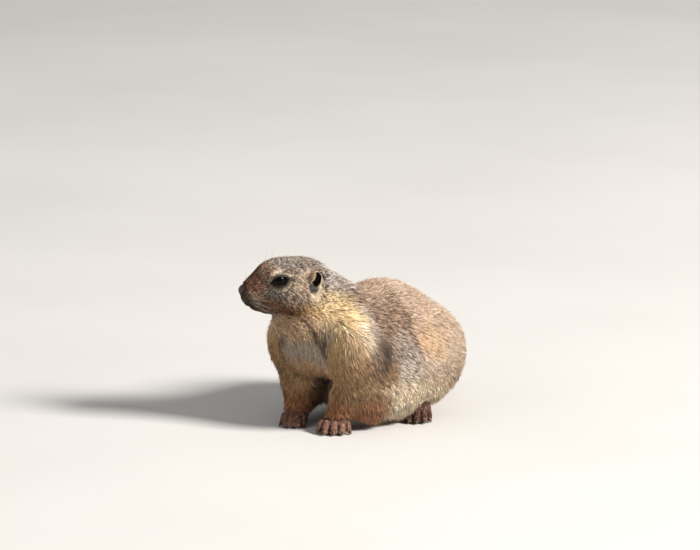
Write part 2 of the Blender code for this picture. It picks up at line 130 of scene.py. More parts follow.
def spot(points, centre, reach, edge=0.35):
    """1 inside an ellipsoid and 0 outside it, fading over a share of its size."""
    out = lengths((points - np.array(centre)) / np.array(reach))
    return faded(out, 1 - edge, 1 + edge)


def ripple(points, size, seed):
    """A smooth, irregular pattern between about -1 and 1, of patches about size across."""
    draw = np.random.default_rng(seed)
    total = np.zeros(len(points))
    for _ in range(9):
        way = draw.normal(size=3)
        way *= draw.uniform(0.6, 1.5) * math.pi / size / np.linalg.norm(way)
        total += np.sin(points @ way + draw.uniform(0, math.tau))
    return total / 3.2


def lengths(vectors):
    return np.linalg.norm(vectors, axis=1)


def unit(vectors):
    return vectors / np.maximum(lengths(vectors), 1e-9)[:, None]


def columns(*parts):
    """Rows made up of columns, some of which may be single numbers."""
    return np.stack(np.broadcast_arrays(*parts), 1)


def between(low, high, share):
    return low + (high - low) * share


def mirrored(points, axis):
    """The same points with one coordinate made positive, so that both sides are marked alike."""
    folded = points.copy()
    folded[:, axis] = np.abs(folded[:, axis])
    return folded


def from_feet(body):
    """How far places are from the nearest foot, seen from above."""
    return np.min([np.hypot(body[:, 0] - x, body[:, 1] - y) for x, y in FEET_AT], axis=0)


def colour(red, green, blue):
    """A colour as a screen shows it, made linear."""
    screen = np.array((red, green, blue), float)
    return np.where(screen <= 0.04045, screen / 12.92, ((screen + 0.055) / 1.055) ** 2.4)


# Meshes


def deselect():
    if bpy.context.object and bpy.context.object.mode != "OBJECT":
        bpy.ops.object.mode_set(mode="OBJECT")
    bpy.ops.object.select_all(action="DESELECT")


def take(*objects):
    """Selects these objects only, with the first one active."""
    deselect()
    for obj in objects:
        obj.select_set(True)
    bpy.context.view_layer.objects.active = objects[0]


def grow(obj, by):
    """Moves the surface outwards by so many millimetres."""
    outwards = obj.modifiers.new("outwards", "DISPLACE")
    outwards.strength, outwards.mid_level, outwards.direction = by * MM, 0, "NORMAL"


def apply_all(obj):
    take(obj)
    for modifier in list(obj.modifiers):
        bpy.ops.object.modifier_apply(modifier=modifier.name)


def edit_whole(obj, operator, **settings):
    """Runs one operator on the whole of an object in edit mode."""
    take(obj)
    bpy.ops.object.mode_set(mode="EDIT")
    bpy.ops.mesh.select_all(action="SELECT")
    operator(**settings)
    bpy.ops.object.mode_set(mode="OBJECT")


def face_outwards(obj):
    edit_whole(obj, bpy.ops.mesh.normals_make_consistent, inside=False)


def copy_node(name, new_name):
    obj = bpy.data.objects.new(new_name, NODES[name].data.copy())
    bpy.context.scene.collection.objects.link(obj)
    obj.data.materials.clear()
    return obj


def merged_copy(names, new_name):
    """Copies of CAD nodes as one object, with the corners of their triangles joined up."""
    copies = [copy_node(name, new_name) for name in names]
    take(*copies)
    if len(copies) > 1:
        bpy.ops.object.join()
    obj = copies[0]
    obj.name = obj.data.name = new_name
    edit_whole(obj, bpy.ops.mesh.remove_doubles, threshold=1e-6)
    return obj


def rows(items, field, width, kind=np.float32):
    """One field of all the items of a mesh, as rows of so many numbers."""
    values = np.empty(len(items) * width, kind)
    items.foreach_get(field, values)
    return values.reshape(-1, width)


def corners(mesh):
    return rows(mesh.vertices, "co", 3).astype(float)


def keep_above(places, gap):
    """Lifts places that are nearer to the floor than a gap in millimetres, or below it."""
    places[:, 2] = np.maximum(places[:, 2], gap * MM)


def put_corners(mesh, places):
    mesh.vertices.foreach_set("co", places.astype(np.float32).ravel())
    mesh.update()


def corner_normals(mesh):
    return rows(mesh.vertices, "normal", 3).astype(float)


def edge_ends(mesh):
    return rows(mesh.edges, "vertices", 2, np.int32)


def evened(values, ends, rounds, share=0.5):
    """Values at the corners of a mesh, averaged with their neighbours several times."""
    count = len(values)
    flat = values.reshape(count, -1).astype(float)
    one, other = np.concatenate([ends, ends[:, ::-1]]).T
    near = np.maximum(np.bincount(one, minlength=count), 1)
    for _ in range(rounds):
        mean = np.stack([np.bincount(one, flat[other, c], count) for c in range(flat.shape[1])], 1)
        flat = flat + share * (mean / near[:, None] - flat)
    return flat.reshape(values.shape)


def mesh_from_arrays(name, places, faces):
    """An object from corner places and triangles given as arrays."""
    mesh = bpy.data.meshes.new(name)
    mesh.vertices.add(len(places))
    mesh.vertices.foreach_set("co", places.astype(np.float32).ravel())
    mesh.loops.add(faces.size)
    mesh.loops.foreach_set("vertex_index", faces.astype(np.int32).ravel())
    mesh.polygons.add(len(faces))
    mesh.polygons.foreach_set("loop_start", np.arange(0, faces.size, 3, dtype=np.int32))
    mesh.polygons.foreach_set("use_smooth", np.ones(len(faces), bool))
    mesh.update(calc_edges=True)
    obj = bpy.data.objects.new(name, mesh)
    bpy.context.scene.collection.objects.link(obj)
    return obj


def tube_faces(rings, sides, closed=False):
    """Triangles between rings of corners that follow one another, and back to the first ring if closed."""
    faces = []
    for ring in range(rings if closed else rings - 1):
        here, there = ring * sides, (ring + 1) % rings * sides
        for turn in range(sides):
            beside = (turn + 1) % sides
            faces += [(here + turn, here + beside, there + beside), (here + turn, there + beside, there + turn)]
    return faces


def repeated(faces, corner_count, copies):
    """The faces of many copies of one shape."""
    return (np.array(faces)[None] + corner_count * np.arange(copies)[:, None, None]).reshape(-1, 3)


def ball(name, segments, ring_count, radius, centre=(0, 0, 0)):
    deselect()
    bpy.ops.mesh.primitive_uv_sphere_add(segments=segments, ring_count=ring_count, radius=radius, location=centre)
    obj = bpy.context.object
    obj.name = obj.data.name = name
    bpy.ops.object.transform_apply()
    bpy.ops.object.shade_smooth()
    return obj


def paint(mesh, name, tones):
    layer = mesh.color_attributes.new(name, "FLOAT_COLOR", "POINT")
    layer.data.foreach_set("color", np.c_[tones, np.ones(len(tones))].astype(np.float32).ravel())


# Materials


class Finish:
    """A material with its shader, and the ways to add nodes to it."""

    def __init__(self, name, roughness, **sockets):
        self.made = bpy.data.materials.new(name)
        self.made.use_nodes = True
        self.tree = self.made.node_tree
        self.shader = self.tree.nodes["Principled BSDF"]
        self.shader.inputs["Roughness"].default_value = roughness
        for socket, value in sockets.items():
            self.shader.inputs[socket.replace("_", " ")].default_value = value
        self.where = self.add("ShaderNodeTexCoord").outputs["Object"]

    def add(self, kind, inputs=None, **settings):
        """A node with its settings, and with its inputs linked or set."""
        node = self.tree.nodes.new(kind)
        for key, value in settings.items():
            setattr(node, key, value)
        for key, value in (inputs or {}).items():
            if isinstance(value, bpy.types.NodeSocket):
                self.tree.links.new(value, node.inputs[key])
            else:
                node.inputs[key].default_value = value
        return node

    def noise(self, scale, detail, **more):
        found = self.add("ShaderNodeTexNoise", {"Vector": self.where, "Scale": scale, "Detail": detail, **more})
        return found.outputs["Fac"]

    def bump(self, height, strength, distance):
        bump = self.add("ShaderNodeBump", {"Height": height, "Strength": strength, "Distance": distance})
        self.tree.links.new(bump.outputs["Normal"], self.shader.inputs["Normal"])

    def coat_colour(self, pattern, least, most):
        """Takes the colour from the corners of the mesh, made darker and lighter by a pattern."""
        tint = self.add("ShaderNodeVertexColor", layer_name="coat_colour").outputs["Color"]
        span = {"From Min": 0.3, "From Max": 0.7, "To Min": least, "To Max": most}
        shade = self.add("ShaderNodeMapRange", {"Value": pattern, **span}).outputs["Result"]
        inputs = {"Factor": 1.0, 6: tint, 7: shade}
        mixed = self.add("ShaderNodeMix", inputs, data_type="RGBA", blend_type="MULTIPLY")
        self.tree.links.new(mixed.outputs[2], self.shader.inputs["Base Color"])

    def ramp(self, pattern, *stops):
        """Takes the colour from a pattern, by stops from its lowest to its highest and then between them."""
        ramp = self.add("ShaderNodeValToRGB", {"Fac": pattern})
        elements = ramp.color_ramp.elements
        for number, (position, tone) in enumerate(stops):
            stop = elements[number] if number < 2 else elements.new(position)
            stop.position, stop.color = position, (*tone, 1)
        self.tree.links.new(ramp.outputs["Color"], self.shader.inputs["Base Color"])


def fur_material():
    """Hair takes its colour from the tuft, a little uneven along it."""
    fur = Finish("fur", 0.52, Specular_IOR_Level=0.2, Sheen_Weight=0.06, Sheen_Roughness=0.4)
    fur.coat_colour(fur.noise(900, 2), 0.8, 1.18)
    return fur.made


def skin_material():
    """Skin shows the coat's markings between the hairs, and turns to mud-caked leather on the feet."""
    skin = Finish("skin", 0.85, Specular_IOR_Level=0.25)
    mottle = skin.noise(420, 5, Roughness=0.65)
    skin.coat_colour(mottle, 0.7, 1.25)
    creases = skin.add("ShaderNodeTexVoronoi", {"Vector": skin.where, "Scale": 900}, feature="DISTANCE_TO_EDGE")
    height = skin.add("ShaderNodeMath", {0: creases.outputs["Distance"], 1: mottle}, operation="ADD")
    skin.bump(height.outputs[0], 0.7, 0.0004)
    return skin.made


def eye_material():
    """Almost black, with a dark brown iris that only strong light brings out, under a wet surface."""
    eye = Finish("eye", 0.05, IOR=1.36, Specular_IOR_Level=0.16)
    reach = eye.add("ShaderNodeAttribute", attribute_name="from_pupil").outputs["Fac"]
    wavy = eye.add("ShaderNodeMath", {0: eye.noise(1500, 3), 1: 0.12}, operation="MULTIPLY").outputs[0]
    at = eye.add("ShaderNodeMath", {0: reach, 1: wavy}, operation="ADD").outputs[0]
    pupil, edge, iris = (0.0006, 0.0006, 0.001), (0.002, 0.0015, 0.001), (0.004, 0.0025, 0.002)
    eye.ramp(at, (0.30, pupil), (0.75, edge), (0.45, iris))
    return eye.made


def grained_material(name, roughness, dark, light, grain, distance=0.0002, detail=4, span=(0.32, 0.68)):
    """Leather, horn or mud with a fine grain of dark and light, raised by the same grain."""
    made = Finish(name, roughness)
    pattern = made.noise(grain, detail, Roughness=0.6)
    made.bump(pattern, 0.5, distance)
    made.ramp(pattern, (span[0], colour(*dark)), (span[1], colour(*light)))
    return made.made


# The plan of the coat

# What each part of the body carries: how deep the coat is, how long its hairs are and how wide a tuft
# is, in millimetres, and how closely the tufts stand
COAT = {
    "head": (2.0, 5.5, 0.34, 2.6),
    "lower_jaw": (0.4, 1.6, 0.26, 3.0),
    "ear": (0.25, 1.5, 0.24, 3.2),
    "neck": (3.0, 8.5, 0.50, 1.0),
    "torso": (3.1, 6.2, 0.45, 1.05),
    "upper_foreleg": (2.6, 8.5, 0.46, 1.1),
    "lower_foreleg": (1.9, 6.5, 0.40, 1.3),
    "forepaw": (0.35, 1.6, 0.28, 0.8),
    "thigh": (3.0, 5.6, 0.44, 1.1),
    "hindfoot": (0.35, 1.6, 0.28, 0.8),
    "tail": (3.0, 10.0, 0.50, 1.1),
    "tail_tip": (3.2, 11.0, 0.50, 1.2),
}
KINDS = list(COAT)
ON_HEAD = ("head", "lower_jaw", "ear")
ON_FEET = ("forepaw", "hindfoot")
ON_TAIL = ("tail", "tail_tip")


def together(share, kinds):
    """The share of several kinds of parts in one."""
    return sum(share[kind] for kind in kinds)


def kind_of(node):
    return node.removeprefix("left_").removeprefix("right_")


def nearest_kinds(places):
    """For each place, which kind of CAD node is nearest, as an index into KINDS."""
    all_places, faces, kinds = [], [], []
    for name in FLESH:
        mesh = NODES[name].data
        first = len(all_places)
        all_places.extend(v.co for v in mesh.vertices)
        for face in mesh.polygons:
            faces.append([first + i for i in face.vertices])
            kinds.append(KINDS.index(kind_of(name)))
    tree = BVHTree.FromPolygons(all_places, faces)
    return np.array([kinds[tree.find_nearest(Vector(p))[2]] for p in places])


def eye_place(head):
    """Places round the nearer eye: along its opening, across it, and outwards."""
    side = np.sign(head[:, 1])
    tilt = math.radians(EYE_TILT)
    off = head - columns(EYE_AT[0], EYE_AT[1] * side, EYE_AT[2])
    along = off[:, 0] * math.cos(tilt) - off[:, 2] * math.sin(tilt)
    across = off[:, 0] * math.sin(tilt) + off[:, 2] * math.cos(tilt)
    return off, columns(along, across, off[:, 1] * side)


def outside_almond(flat):
    """How far places lie outside the almond between the lids, and less than 0 inside it."""
    half, rise = EYE_OPENING[0] / 2, EYE_OPENING[1] / 2
    share = np.clip(np.abs(flat[:, 0]) / half, 0, 1)
    edge = rise * (1 - share**2) ** 0.675
    beyond = np.maximum(np.abs(flat[:, 0]) - half, 0)
    within = np.abs(flat[:, 1]) - edge
    return np.where(beyond > 0, np.hypot(beyond, flat[:, 1]), within * 0.85)


def ear_place(head):
    """Places in the frame of the nearer ear: forward, outward and up."""
    side = np.sign(head[:, 1])
    folded = mirrored(head, 1) - np.array(EAR_AT)
    turn = Euler([math.radians(a) for a in EAR_TURN]).to_matrix()
    return folded @ np.array(turn), side


def ear_crescent(ear):
    """1 in the crescent of an ear's opening, sunk in and darkened with painted shade, behind the pale lobe at its
    front.
    """
    forward, _, up = ear.T
    whole = (forward + 0.4) ** 2 / 3.5**2 + (up - 1.4) ** 2 / 5.2**2
    lobe = (forward - 2.9) ** 2 / 2.5**2 + (up - 2.6) ** 2 / 4.0**2
    return faded(whole, 0.75, 1.15) * eased(lobe, 0.85, 1.25)


def mouth_height(u):
    return np.interp(u, *zip(*MOUTH_LINE))


def coat_depths(body, kinds):
    """How deep the coat is over each place."""
    head = head_frame(body)
    depth = np.array([COAT[kind][0] for kind in KINDS])[kinds]
    on_head = kinds == KINDS.index("head")
    muzzle = 2.2 - 1.7 * eased(head[:, 0], 12, 36)
    depth = np.where(on_head, muzzle, depth)
    off, _ = eye_place(head)
    by_eye = faded(lengths(off), 7.5, 11)
    depth = depth * (1 - by_eye) + 0.4 * by_eye
    lips = spot(head, (44, 0, -11), (9, 12, 7))
    return depth * (1 - lips) + 0.25 * lips


# The skin

SWELL = 0.5  # grows the copied flesh, so that its thin cuts close
SKIN_GRAIN = 1.2
SKIN_STEPS = 6  # in which it sinks below the coat
FOOT_REACH = 19


def make_skin():
    """One closed surface in place of the flesh, inside it by the depth of the coat."""
    skin = merged_copy([*FLESH, "left_eye", "right_eye"], "skin")
    grow(skin, SWELL)
    fuse = skin.modifiers.new("fuse", "REMESH")
    fuse.mode, fuse.voxel_size, fuse.adaptivity = "VOXEL", SKIN_GRAIN * MM, 0
    apply_all(skin)
    keep_largest(skin)
    mesh = skin.data
    places = corners(mesh)
    ends = edge_ends(mesh)
    kinds = nearest_kinds(places)
    depth = evened(coat_depths(body_frame(places), kinds), ends, 14) + SWELL
    for _ in range(SKIN_STEPS):
        places = evened(places, ends, 1, 0.35)
        put_corners(mesh, places)
        places = places - corner_normals(mesh) * (depth / SKIN_STEPS * MM)[:, None]
    put_corners(mesh, places)
    refine(skin)
    shape_face(skin)
    shape_feet(skin)
    take(skin)
    bpy.ops.object.shade_smooth()
    return skin


def keep_largest(obj):
    shape = bmesh.new()
    shape.from_mesh(obj.data)
    left, groups = set(shape.verts), []
    while left:
        group, edge = set(), [left.pop()]
        while edge:
            vert = edge.pop()
            group.add(vert)
            near = {e.other_vert(vert) for e in vert.link_edges} & left
            left -= near
            edge.extend(near)
        groups.append(group)
    groups.sort(key=len)
    for group in groups[:-1]:
        bmesh.ops.delete(shape, geom=list(group), context="VERTS")
    shape.to_mesh(obj.data)
    shape.free()


def refine(skin):
    """Finer faces round the eyes, along the mouth and on the feet."""
    mesh = skin.data
    for rounds in range(2):
        body = body_frame(rows(mesh.polygons, "center", 3).astype(float))
        head = head_frame(body)
        off, flat = eye_place(head)
        by_eye = (np.abs(outside_almond(flat)) < 2.2 - 0.8 * rounds) & (flat[:, 2] > 1)
        mouth = np.abs(head[:, 2] - mouth_height(head[:, 0])) < 2.4 - rounds
        by_mouth = mouth & (head[:, 0] > 31) & (head[:, 0] < 56)
        ear, _ = ear_place(head)
        by_ear = (lengths(ear / (5.5, 5, 9.0)) < 1) & (ear[:, 1] > -1)
        on_foot = (rounds == 0) & (body[:, 2] < 12) & (from_feet(body) < FOOT_REACH)
        take(skin)
        bpy.ops.object.mode_set(mode="EDIT")
        bpy.ops.mesh.select_mode(type="FACE")
        bpy.ops.mesh.select_all(action="DESELECT")
        bpy.ops.object.mode_set(mode="OBJECT")
        mesh.polygons.foreach_set("select", by_eye | by_mouth | by_ear | on_foot)
        bpy.ops.object.mode_set(mode="EDIT")
        bpy.ops.mesh.subdivide(number_cuts=1)
        bpy.ops.object.mode_set(mode="OBJECT")


def shape_face(skin):
    """Draws the lids over the eyes, and presses in the line of the mouth under a full upper lip."""
    mesh = skin.data
    places = evened(corners(mesh), edge_ends(mesh), 1, 0.3)
    head = head_frame(body_frame(places))
    off, flat = eye_place(head)
    reach = lengths(off)
    close = (reach < 11) & (flat[:, 2] > 0)
    outside = outside_almond(flat)
    lid = EYE_RADIUS + LID + 0.3 * faded(outside, 0.2, 1.6)
    hidden = EYE_RADIUS - 1.2
    wanted = np.where(outside < 1.8, np.maximum(reach * (outside > 1.2), lid), np.maximum(reach, lid - 0.3))
    wanted = hidden + (wanted - hidden) * eased(outside, -0.45, 0.15)
    grown = np.where(close, wanted / np.maximum(reach, 1e-6), 1)
    head = head + off * (grown - 1)[:, None]

    from_line = head[:, 2] - mouth_height(head[:, 0])
    along = eased(head[:, 0], 31, 35) * (head[:, 0] < 58)
    groove = 0.75 * ridge(from_line, 0.45) * along
    lips = 0.35 * ridge(from_line - 1.3, 0.9) * along
    lips += 0.2 * ridge(from_line + 1.2, 0.8) * along
    normals = corner_normals(mesh) @ np.array(HEAD_TURNED)
    head = head + normals * (lips - groove)[:, None]
    crease = ridge(pad_reach(head) - 1.06, 0.08) * (head[:, 2] < -5) * (head[:, 0] > 44)
    head = head - normals * (0.7 * crease)[:, None]

    ear, side = ear_place(head)
    on_ear = faded(lengths(ear / (6, 6, 9.5)), 0.8, 1.0) * eased(ear[:, 1], -0.5, 1)
    forward, _, up = ear.T
    rim = ridge(np.abs(np.hypot((forward + 0.3) / 4.1, up / 7.0) - 1), 0.16) * eased(-forward, -2.5, 1.5)
    lobe = spot(ear * (1, 0, 1), (3.0, 0, 2.0), (2.2, 1, 3.6), 0.4)
    rise = 0.9 * rim + 0.7 * lobe - 2.4 * ear_crescent(ear)
    head = head + np.array((0.15, 1, 0)) * (rise * on_ear)[:, None] * columns(1, side, side)
    put_corners(mesh, all_from_head(head))


def hollows(places, normals, ends):
    """1 in the grooves of a surface, such as those between toes, and 0 on its level and raised parts."""
    inward = ((evened(places, ends, 8) - places) * normals).sum(1) / MM
    return eased(inward, 0.04, 0.32)


def shape_feet(skin):
    """Lays the finer faces of the feet back on the solids' toes, and roughens them with mud."""
    feet = [name for name in FLESH if kind_of(name) in ON_FEET]
    solids = merged_copy(feet, "solid_feet")
    shape = bmesh.new()
    shape.from_mesh(solids.data)
    tree = BVHTree.FromBMesh(shape)
    shape.free()
    mesh = skin.data
    places = corners(mesh)
    ends = edge_ends(mesh)
    normals = corner_normals(mesh)
    body = body_frame(places)
    share = faded(from_feet(body), FOOT_REACH, FOOT_REACH + 2) * faded(body[:, 2], 9, 12)
    for index in np.nonzero(share > 0)[0]:
        hit, out, _, far = tree.find_nearest(Vector(places[index]), 3 * MM)
        if hit is not None:
            wanted = np.array(hit) - np.array(out) * 0.3 * MM
            places[index] += (wanted - places[index]) * share[index]
    places = evened(places, ends, 1, 0.35)
    places = places - normals * (hollows(places, normals, ends) * share * 0.8 * MM)[:, None]
    mud = 0.16 * ripple(body, 1.3, 31) + 0.12 * ripple(body, 0.6, 32)
    places += normals * (np.minimum(mud, 0.25) * share * MM)[:, None]
    keep_above(places, 0.1)
    put_corners(mesh, places)
    bpy.data.objects.remove(solids)


# Markings

GRIZZLE = colour(0.58, 0.48, 0.40)
SILVER = colour(0.725, 0.665, 0.615)
CROWN = colour(0.50, 0.445, 0.40)
GOLD = colour(0.85, 0.735, 0.55)
CREAM = colour(0.93, 0.83, 0.70)
# whitish chest colour, dimmed with painted shade
WHITE_IN_PAINTED_SHADE = colour(0.68, 0.615, 0.555)
BEIGE = colour(0.86, 0.665, 0.48)
TAN = colour(0.77, 0.675, 0.585)
OCHRE = colour(0.83, 0.70, 0.55)
RUST = colour(0.715, 0.45, 0.305)
# olive of the upper forelegs: partly their own buff and partly painted shade
OLIVE_IN_PAINTED_SHADE = colour(0.57, 0.425, 0.285)
MUD = colour(0.375, 0.25, 0.18)
NOSE_GREY = colour(0.26, 0.205, 0.175)
# near-black painted shade for creases, hollows, grooves and the spot under the chin
PAINTED_SHADE = colour(0.13, 0.10, 0.08)
BLACK = colour(0.07, 0.055, 0.045)
PALE = colour(0.95, 0.91, 0.84)
FOOT = colour(0.44, 0.31, 0.25)


def markings(body, kinds_share, normals):
    """The coat's colour over each place, and its shares of dark and of pale hairs."""
    tone = np.tile(GRIZZLE, (len(body), 1))
    dark = np.full(len(body), 0.3)
    pale = np.full(len(body), 0.22)

    def mark(tint, share, darks=None, pales=None):
        nonlocal tone, dark, pale
        share = np.clip(share, 0, 1)
        tone = tone + (tint - tone) * share[:, None]
        if darks is not None:
            dark = dark + (darks - dark) * share
        if pales is not None:
            pale = pale + (pales - pale) * share

    wavy = body + 2.2 * columns(*(ripple(body, 9, seed) for seed in (41, 42, 43)))
    x, y, z = wavy.T
    folded = mirrored(wavy, 0)
    beside = folded[:, 0]
    height = body[:, 2]
    on_head = together(kinds_share, ON_HEAD)
    on_leg = kinds_share["upper_foreleg"] + kinds_share["lower_foreleg"]

    def dab(tint, centre, reach, edge, strength, *hairs):
        """A soft spot on each side of the body."""
        mark(tint, spot(folded, centre, reach, edge) * strength, *hairs)

    # The back and haunches are plain tan behind a border that runs down the flank, warmest just behind it; painted
    # shade darkens the tan over the top of the back and high on the rear
    top = eased(z, 76, 94) * eased(y, -42, -20)
    # painted shade: the top of the back darker
    mark(TAN * (0.62, 0.58, 0.56), top * 0.9, 0.2, 0.24)
    border = 2 - 0.10 * (60 - z)
    past = eased((y - border) / (1.6 + 7 * eased(z, 68, 84)), -1, 1)
    mark(TAN, past * eased(z, 30, 44), 0.07, 0.22)
    warm = past * faded(y - border, 8, 34) * eased(z, 42, 54) * faded(z, 72, 86)
    mark(colour(0.83, 0.69, 0.55), warm * 0.7)
    # painted shade: the tan darker higher up over the rear
    mark(TAN * (0.76, 0.73, 0.74), eased(z, 62, 76) * eased(y, -2, 8) * faded(y, 20, 50) * 0.9)
    mark(OCHRE, eased(y, 34, 62) * faded(z, 40, 75), 0.12, 0.2)
    # The flank before it is silver, with painted shade in the hollow behind the shoulder
    dab(SILVER, (46, -8, 44), (9, 17, 15), 0.5, 0.8, 0.26, 0.5)
    mark(SILVER, spot(folded, (42, -13, 60), (10, 13, 15), 0.5) * faded(y, -3, 1) * 0.55, 0.34, 0.5)
    # painted shade in the hollow behind the shoulder
    dab(colour(0.35, 0.265, 0.19), (45, -31, 56), (9, 7, 13), 0.5, 0.85, 0.5, 0.16)
    # The neck and shoulders are golden, and the chest is whitish between them, and warmer lower down. Painted shade
    # darkens the shoulders' forward faces, the chest, the forelegs, a spot under the chin and the crease beside the
    # chest
    dab(SILVER, (33, -44, 84), (13, 11, 13), 0.5, 0.6, 0.22, 0.5)
    dab(GOLD, (28, -58, 76), (14, 15, 15), 0.4, 1, 0.22, 0.35)
    dab(colour(0.94, 0.86, 0.745), (38, -55, 70), (9, 9, 15), 0.5, 0.85, 0.14, 0.4)
    # upper forelegs olive: partly their own colour, partly painted shade
    dab(OLIVE_IN_PAINTED_SHADE, (38, -58, 46), (14, 14, 18), 0.5, 0.8, 0.22, 0.25)
    front = eased(-normals[:, 1], 0.15, 0.6) * (1 - on_head) * faded(body[:, 1], -50, -42)
    # painted shade: the gold darker where the shoulders face forward
    mark(GOLD * (0.60, 0.49, 0.40), front * eased(beside, 17, 24) * faded(height, 70, 84) * 0.7, 0.12, 0.25)
    # painted shade: the chest's white dimmed
    mark(WHITE_IN_PAINTED_SHADE, front * faded(beside, 18, 24) * faded(height, 96, 104), 0.06, 0.2)
    mark(BEIGE, front * faded(z, 44, 60) * faded(beside, 14, 24), 0.05, 0.1)
    # forelegs a darker tan-brown: partly their own colour, partly painted shade
    mark(colour(0.645, 0.515, 0.36), on_leg * faded(z, 46, 60) * 0.75, 0.24, 0.3)
    # painted shade: a dark spot on the chest just under the chin
    mark(PAINTED_SHADE, spot(wavy, (-4.8, -76, 70.8), (3, 6, 4.5), 0.6) * 0.5)
    # painted shade in the crease between the chest and each shoulder
    crease = ridge(beside - 11.3 - (76.7 - folded[:, 2]) * 0.72, 2.6)
    mark(colour(0.25, 0.20, 0.15), crease * front * eased(height, 58, 64) * 0.9)
    # The belly's fringe is cream, and the elbows, the shins and the underside are rusty
    mark(CREAM, faded(z, 27, 43) * eased(y, -38, -26) * faded(y, 28, 44), 0.2, 0.45)
    mark(RUST, faded(z, 9, 30) * faded(y, -36, -20) * (1 - on_head) * 0.9, 0.3, 0.4)
    mark(RUST, faded(z, 6, 15) * 0.6, 0.24, 0.24)
    mark(BEIGE, faded(normals[:, 2], -0.97, -0.8) * 0.4)
    mark(colour(0.60, 0.41, 0.27), on_leg * faded(z, 22, 38) * 0.6, 0.2, 0.2)
    # darker, foot-coloured fur just above each hind foot: mud and painted shade
    dab(FOOT * 0.6, (46, 19, 16), (8, 9, 6.5), 0.4, 0.85, 0.1, 0)

    # The head is grizzled, silver behind the ears, with a grey brow, a brown muzzle and a rusty patch under the cheek
    head = head_frame(body)
    u, _, w = head.T
    cheek = mirrored(head, 1)

    def dab_face(tint, centre, reach, edge, strength, *hairs):
        mark(colour(*tint), on_head * spot(cheek, centre, reach, edge) * strength, *hairs)

    mark(CROWN, on_head, 0.32, 0.36)
    behind = faded(u, -12, 2)
    mark(SILVER * (0.83, 0.86, 0.90), on_head * behind * eased(w, -8, 4), 0.34, 0.46)
    mark(SILVER * 0.8, kinds_share["neck"] * behind * eased(w, -10, 0), 0.34, 0.46)
    dab_face((0.63, 0.55, 0.465), (9, 19, 3), (10, 12, 9), 0.5, 1, 0.22, 0.42)
    dab_face((0.59, 0.51, 0.43), (10, 20, -9), (15, 12, 7), 0.5, 1, 0.34, 0.42)
    dab_face((0.64, 0.49, 0.325), (8, 18, -16.5), (20, 14, 7), 0.45, 0.9, 0.4, 0.34)
    mark(GOLD, (on_head + kinds_share["neck"]) * spot(cheek, (-10, 16, -16), (13, 16, 12), 0.5) * 0.8, 0.22, 0.3)
    dab_face((0.50, 0.47, 0.44), (22, 9, 16.5), (13, 5, 2.2), 0.6, 0.6, 0.42, 0.4)
    dab_face((0.54, 0.42, 0.33), (31, 9, 9.5), (9, 6, 4.5), 0.6, 0.7, 0.34, 0.28)
    muzzle = u + 1.5 * ripple(head, 4, 61)
    mark(colour(0.47, 0.37, 0.30), on_head * eased(muzzle, 28, 36), 0.32, 0.26)
    mark(MUD * (0.95, 0.78, 0.62), on_head * (eased(muzzle, 35, 40) * eased(w, -4.5, -1)) * 0.9, 0.36, 0.3)
    dab_face((0.50, 0.46, 0.42), (30, 13, -3), (7, 6, 3.6), 0.5, 1, 0.45, 0.45)
    dab_face((0.46, 0.39, 0.30), (38.5, 9, -7), (7, 6, 4.0), 0.5, 1, 0.36, 0.34)
    dab_face((0.41, 0.25, 0.13), (20, 12, -15), (11, 9, 5.2), 0.9, 0.95, 0.5, 0.3)
    dab_face((0.52, 0.37, 0.26), (30, 10, -11), (6, 7, 3.5), 0.5, 0.8, 0.3, 0.24)
    dab_face((0.22, 0.165, 0.13), (46, 4, -10.8), (9, 7, 5.0), 0.4, 1, 0.34, 0.34)
    dab_face((0.37, 0.32, 0.285), (50, 3, -9.5), (5.5, 7, 4.5), 0.5, 1, 0.2, 0.2)
    mark(colour(0.42, 0.30, 0.22), kinds_share["lower_jaw"] * 0.8, 0.2, 0.2)
    # The throat is pale, with painted shade along a fold from under the cheek down to the left shoulder
    mark(colour(0.76, 0.64, 0.51), spot(cheek, (14, 12, -27), (21, 18, 8), 0.35) * 0.95, 0.05, 0.15)
    from_fold = body[:, 0] - 3 - (81.8 - height) * 0.9 + 0.8 * ripple(body, 3, 91)
    fold = ridge(from_fold, 2.0) * eased(height, 60, 68) * faded(height, 82, 87)
    mark(colour(0.25, 0.195, 0.145), fold * (body[:, 1] < -56) * 0.75, 0.55, 0.2)
    # Specks of darker and paler hair all over the face
    specks = ripple(body, 1.5, 81) + ripple(body, 0.9, 82)
    dark = dark + on_head * 0.3 * eased(specks, 0.5, 1.3)
    pale = pale + on_head * 0.3 * eased(-specks, 0.5, 1.3)
    # A pale ring round the eye, and a dark streak before and behind it
    off, flat = eye_place(head)
    outside = outside_almond(flat)
    seen = flat[:, 2] > 0
    ring = ridge(outside - 2.5, 1.0) * (seen * on_head)
    mark(colour(0.81, 0.74, 0.64), ring * (0.35 + 0.5 * (flat[:, 1] > 0)), 0.10, 0.35)
    mark(colour(0.27, 0.23, 0.20), ridge(outside - 0.6, 0.5) * (seen * on_head) * 0.8, 0.2, 0.1)
    before = spot(flat, (-7.2, -0.6, 3.5), (2.8, 2.0, 8), 0.6)
    after = spot(flat, (7.6, -1.2, 3.5), (2.2, 1.3, 8), 0.5)
    mark(colour(0.28, 0.24, 0.21), on_head * (0.7 * before + 0.6 * after) * 0.8, 0.5, 0.05)
    above = spot(flat, (-4.8, 5.6, 2.0), (4.0, 1.2, 8), 0.5)
    mark(colour(0.38, 0.31, 0.26), on_head * above * 0.6, 0.4, 0.05)
    mark(BLACK, on_head * faded(outside, 0.3, 0.9) * seen * (lengths(off) < 9))
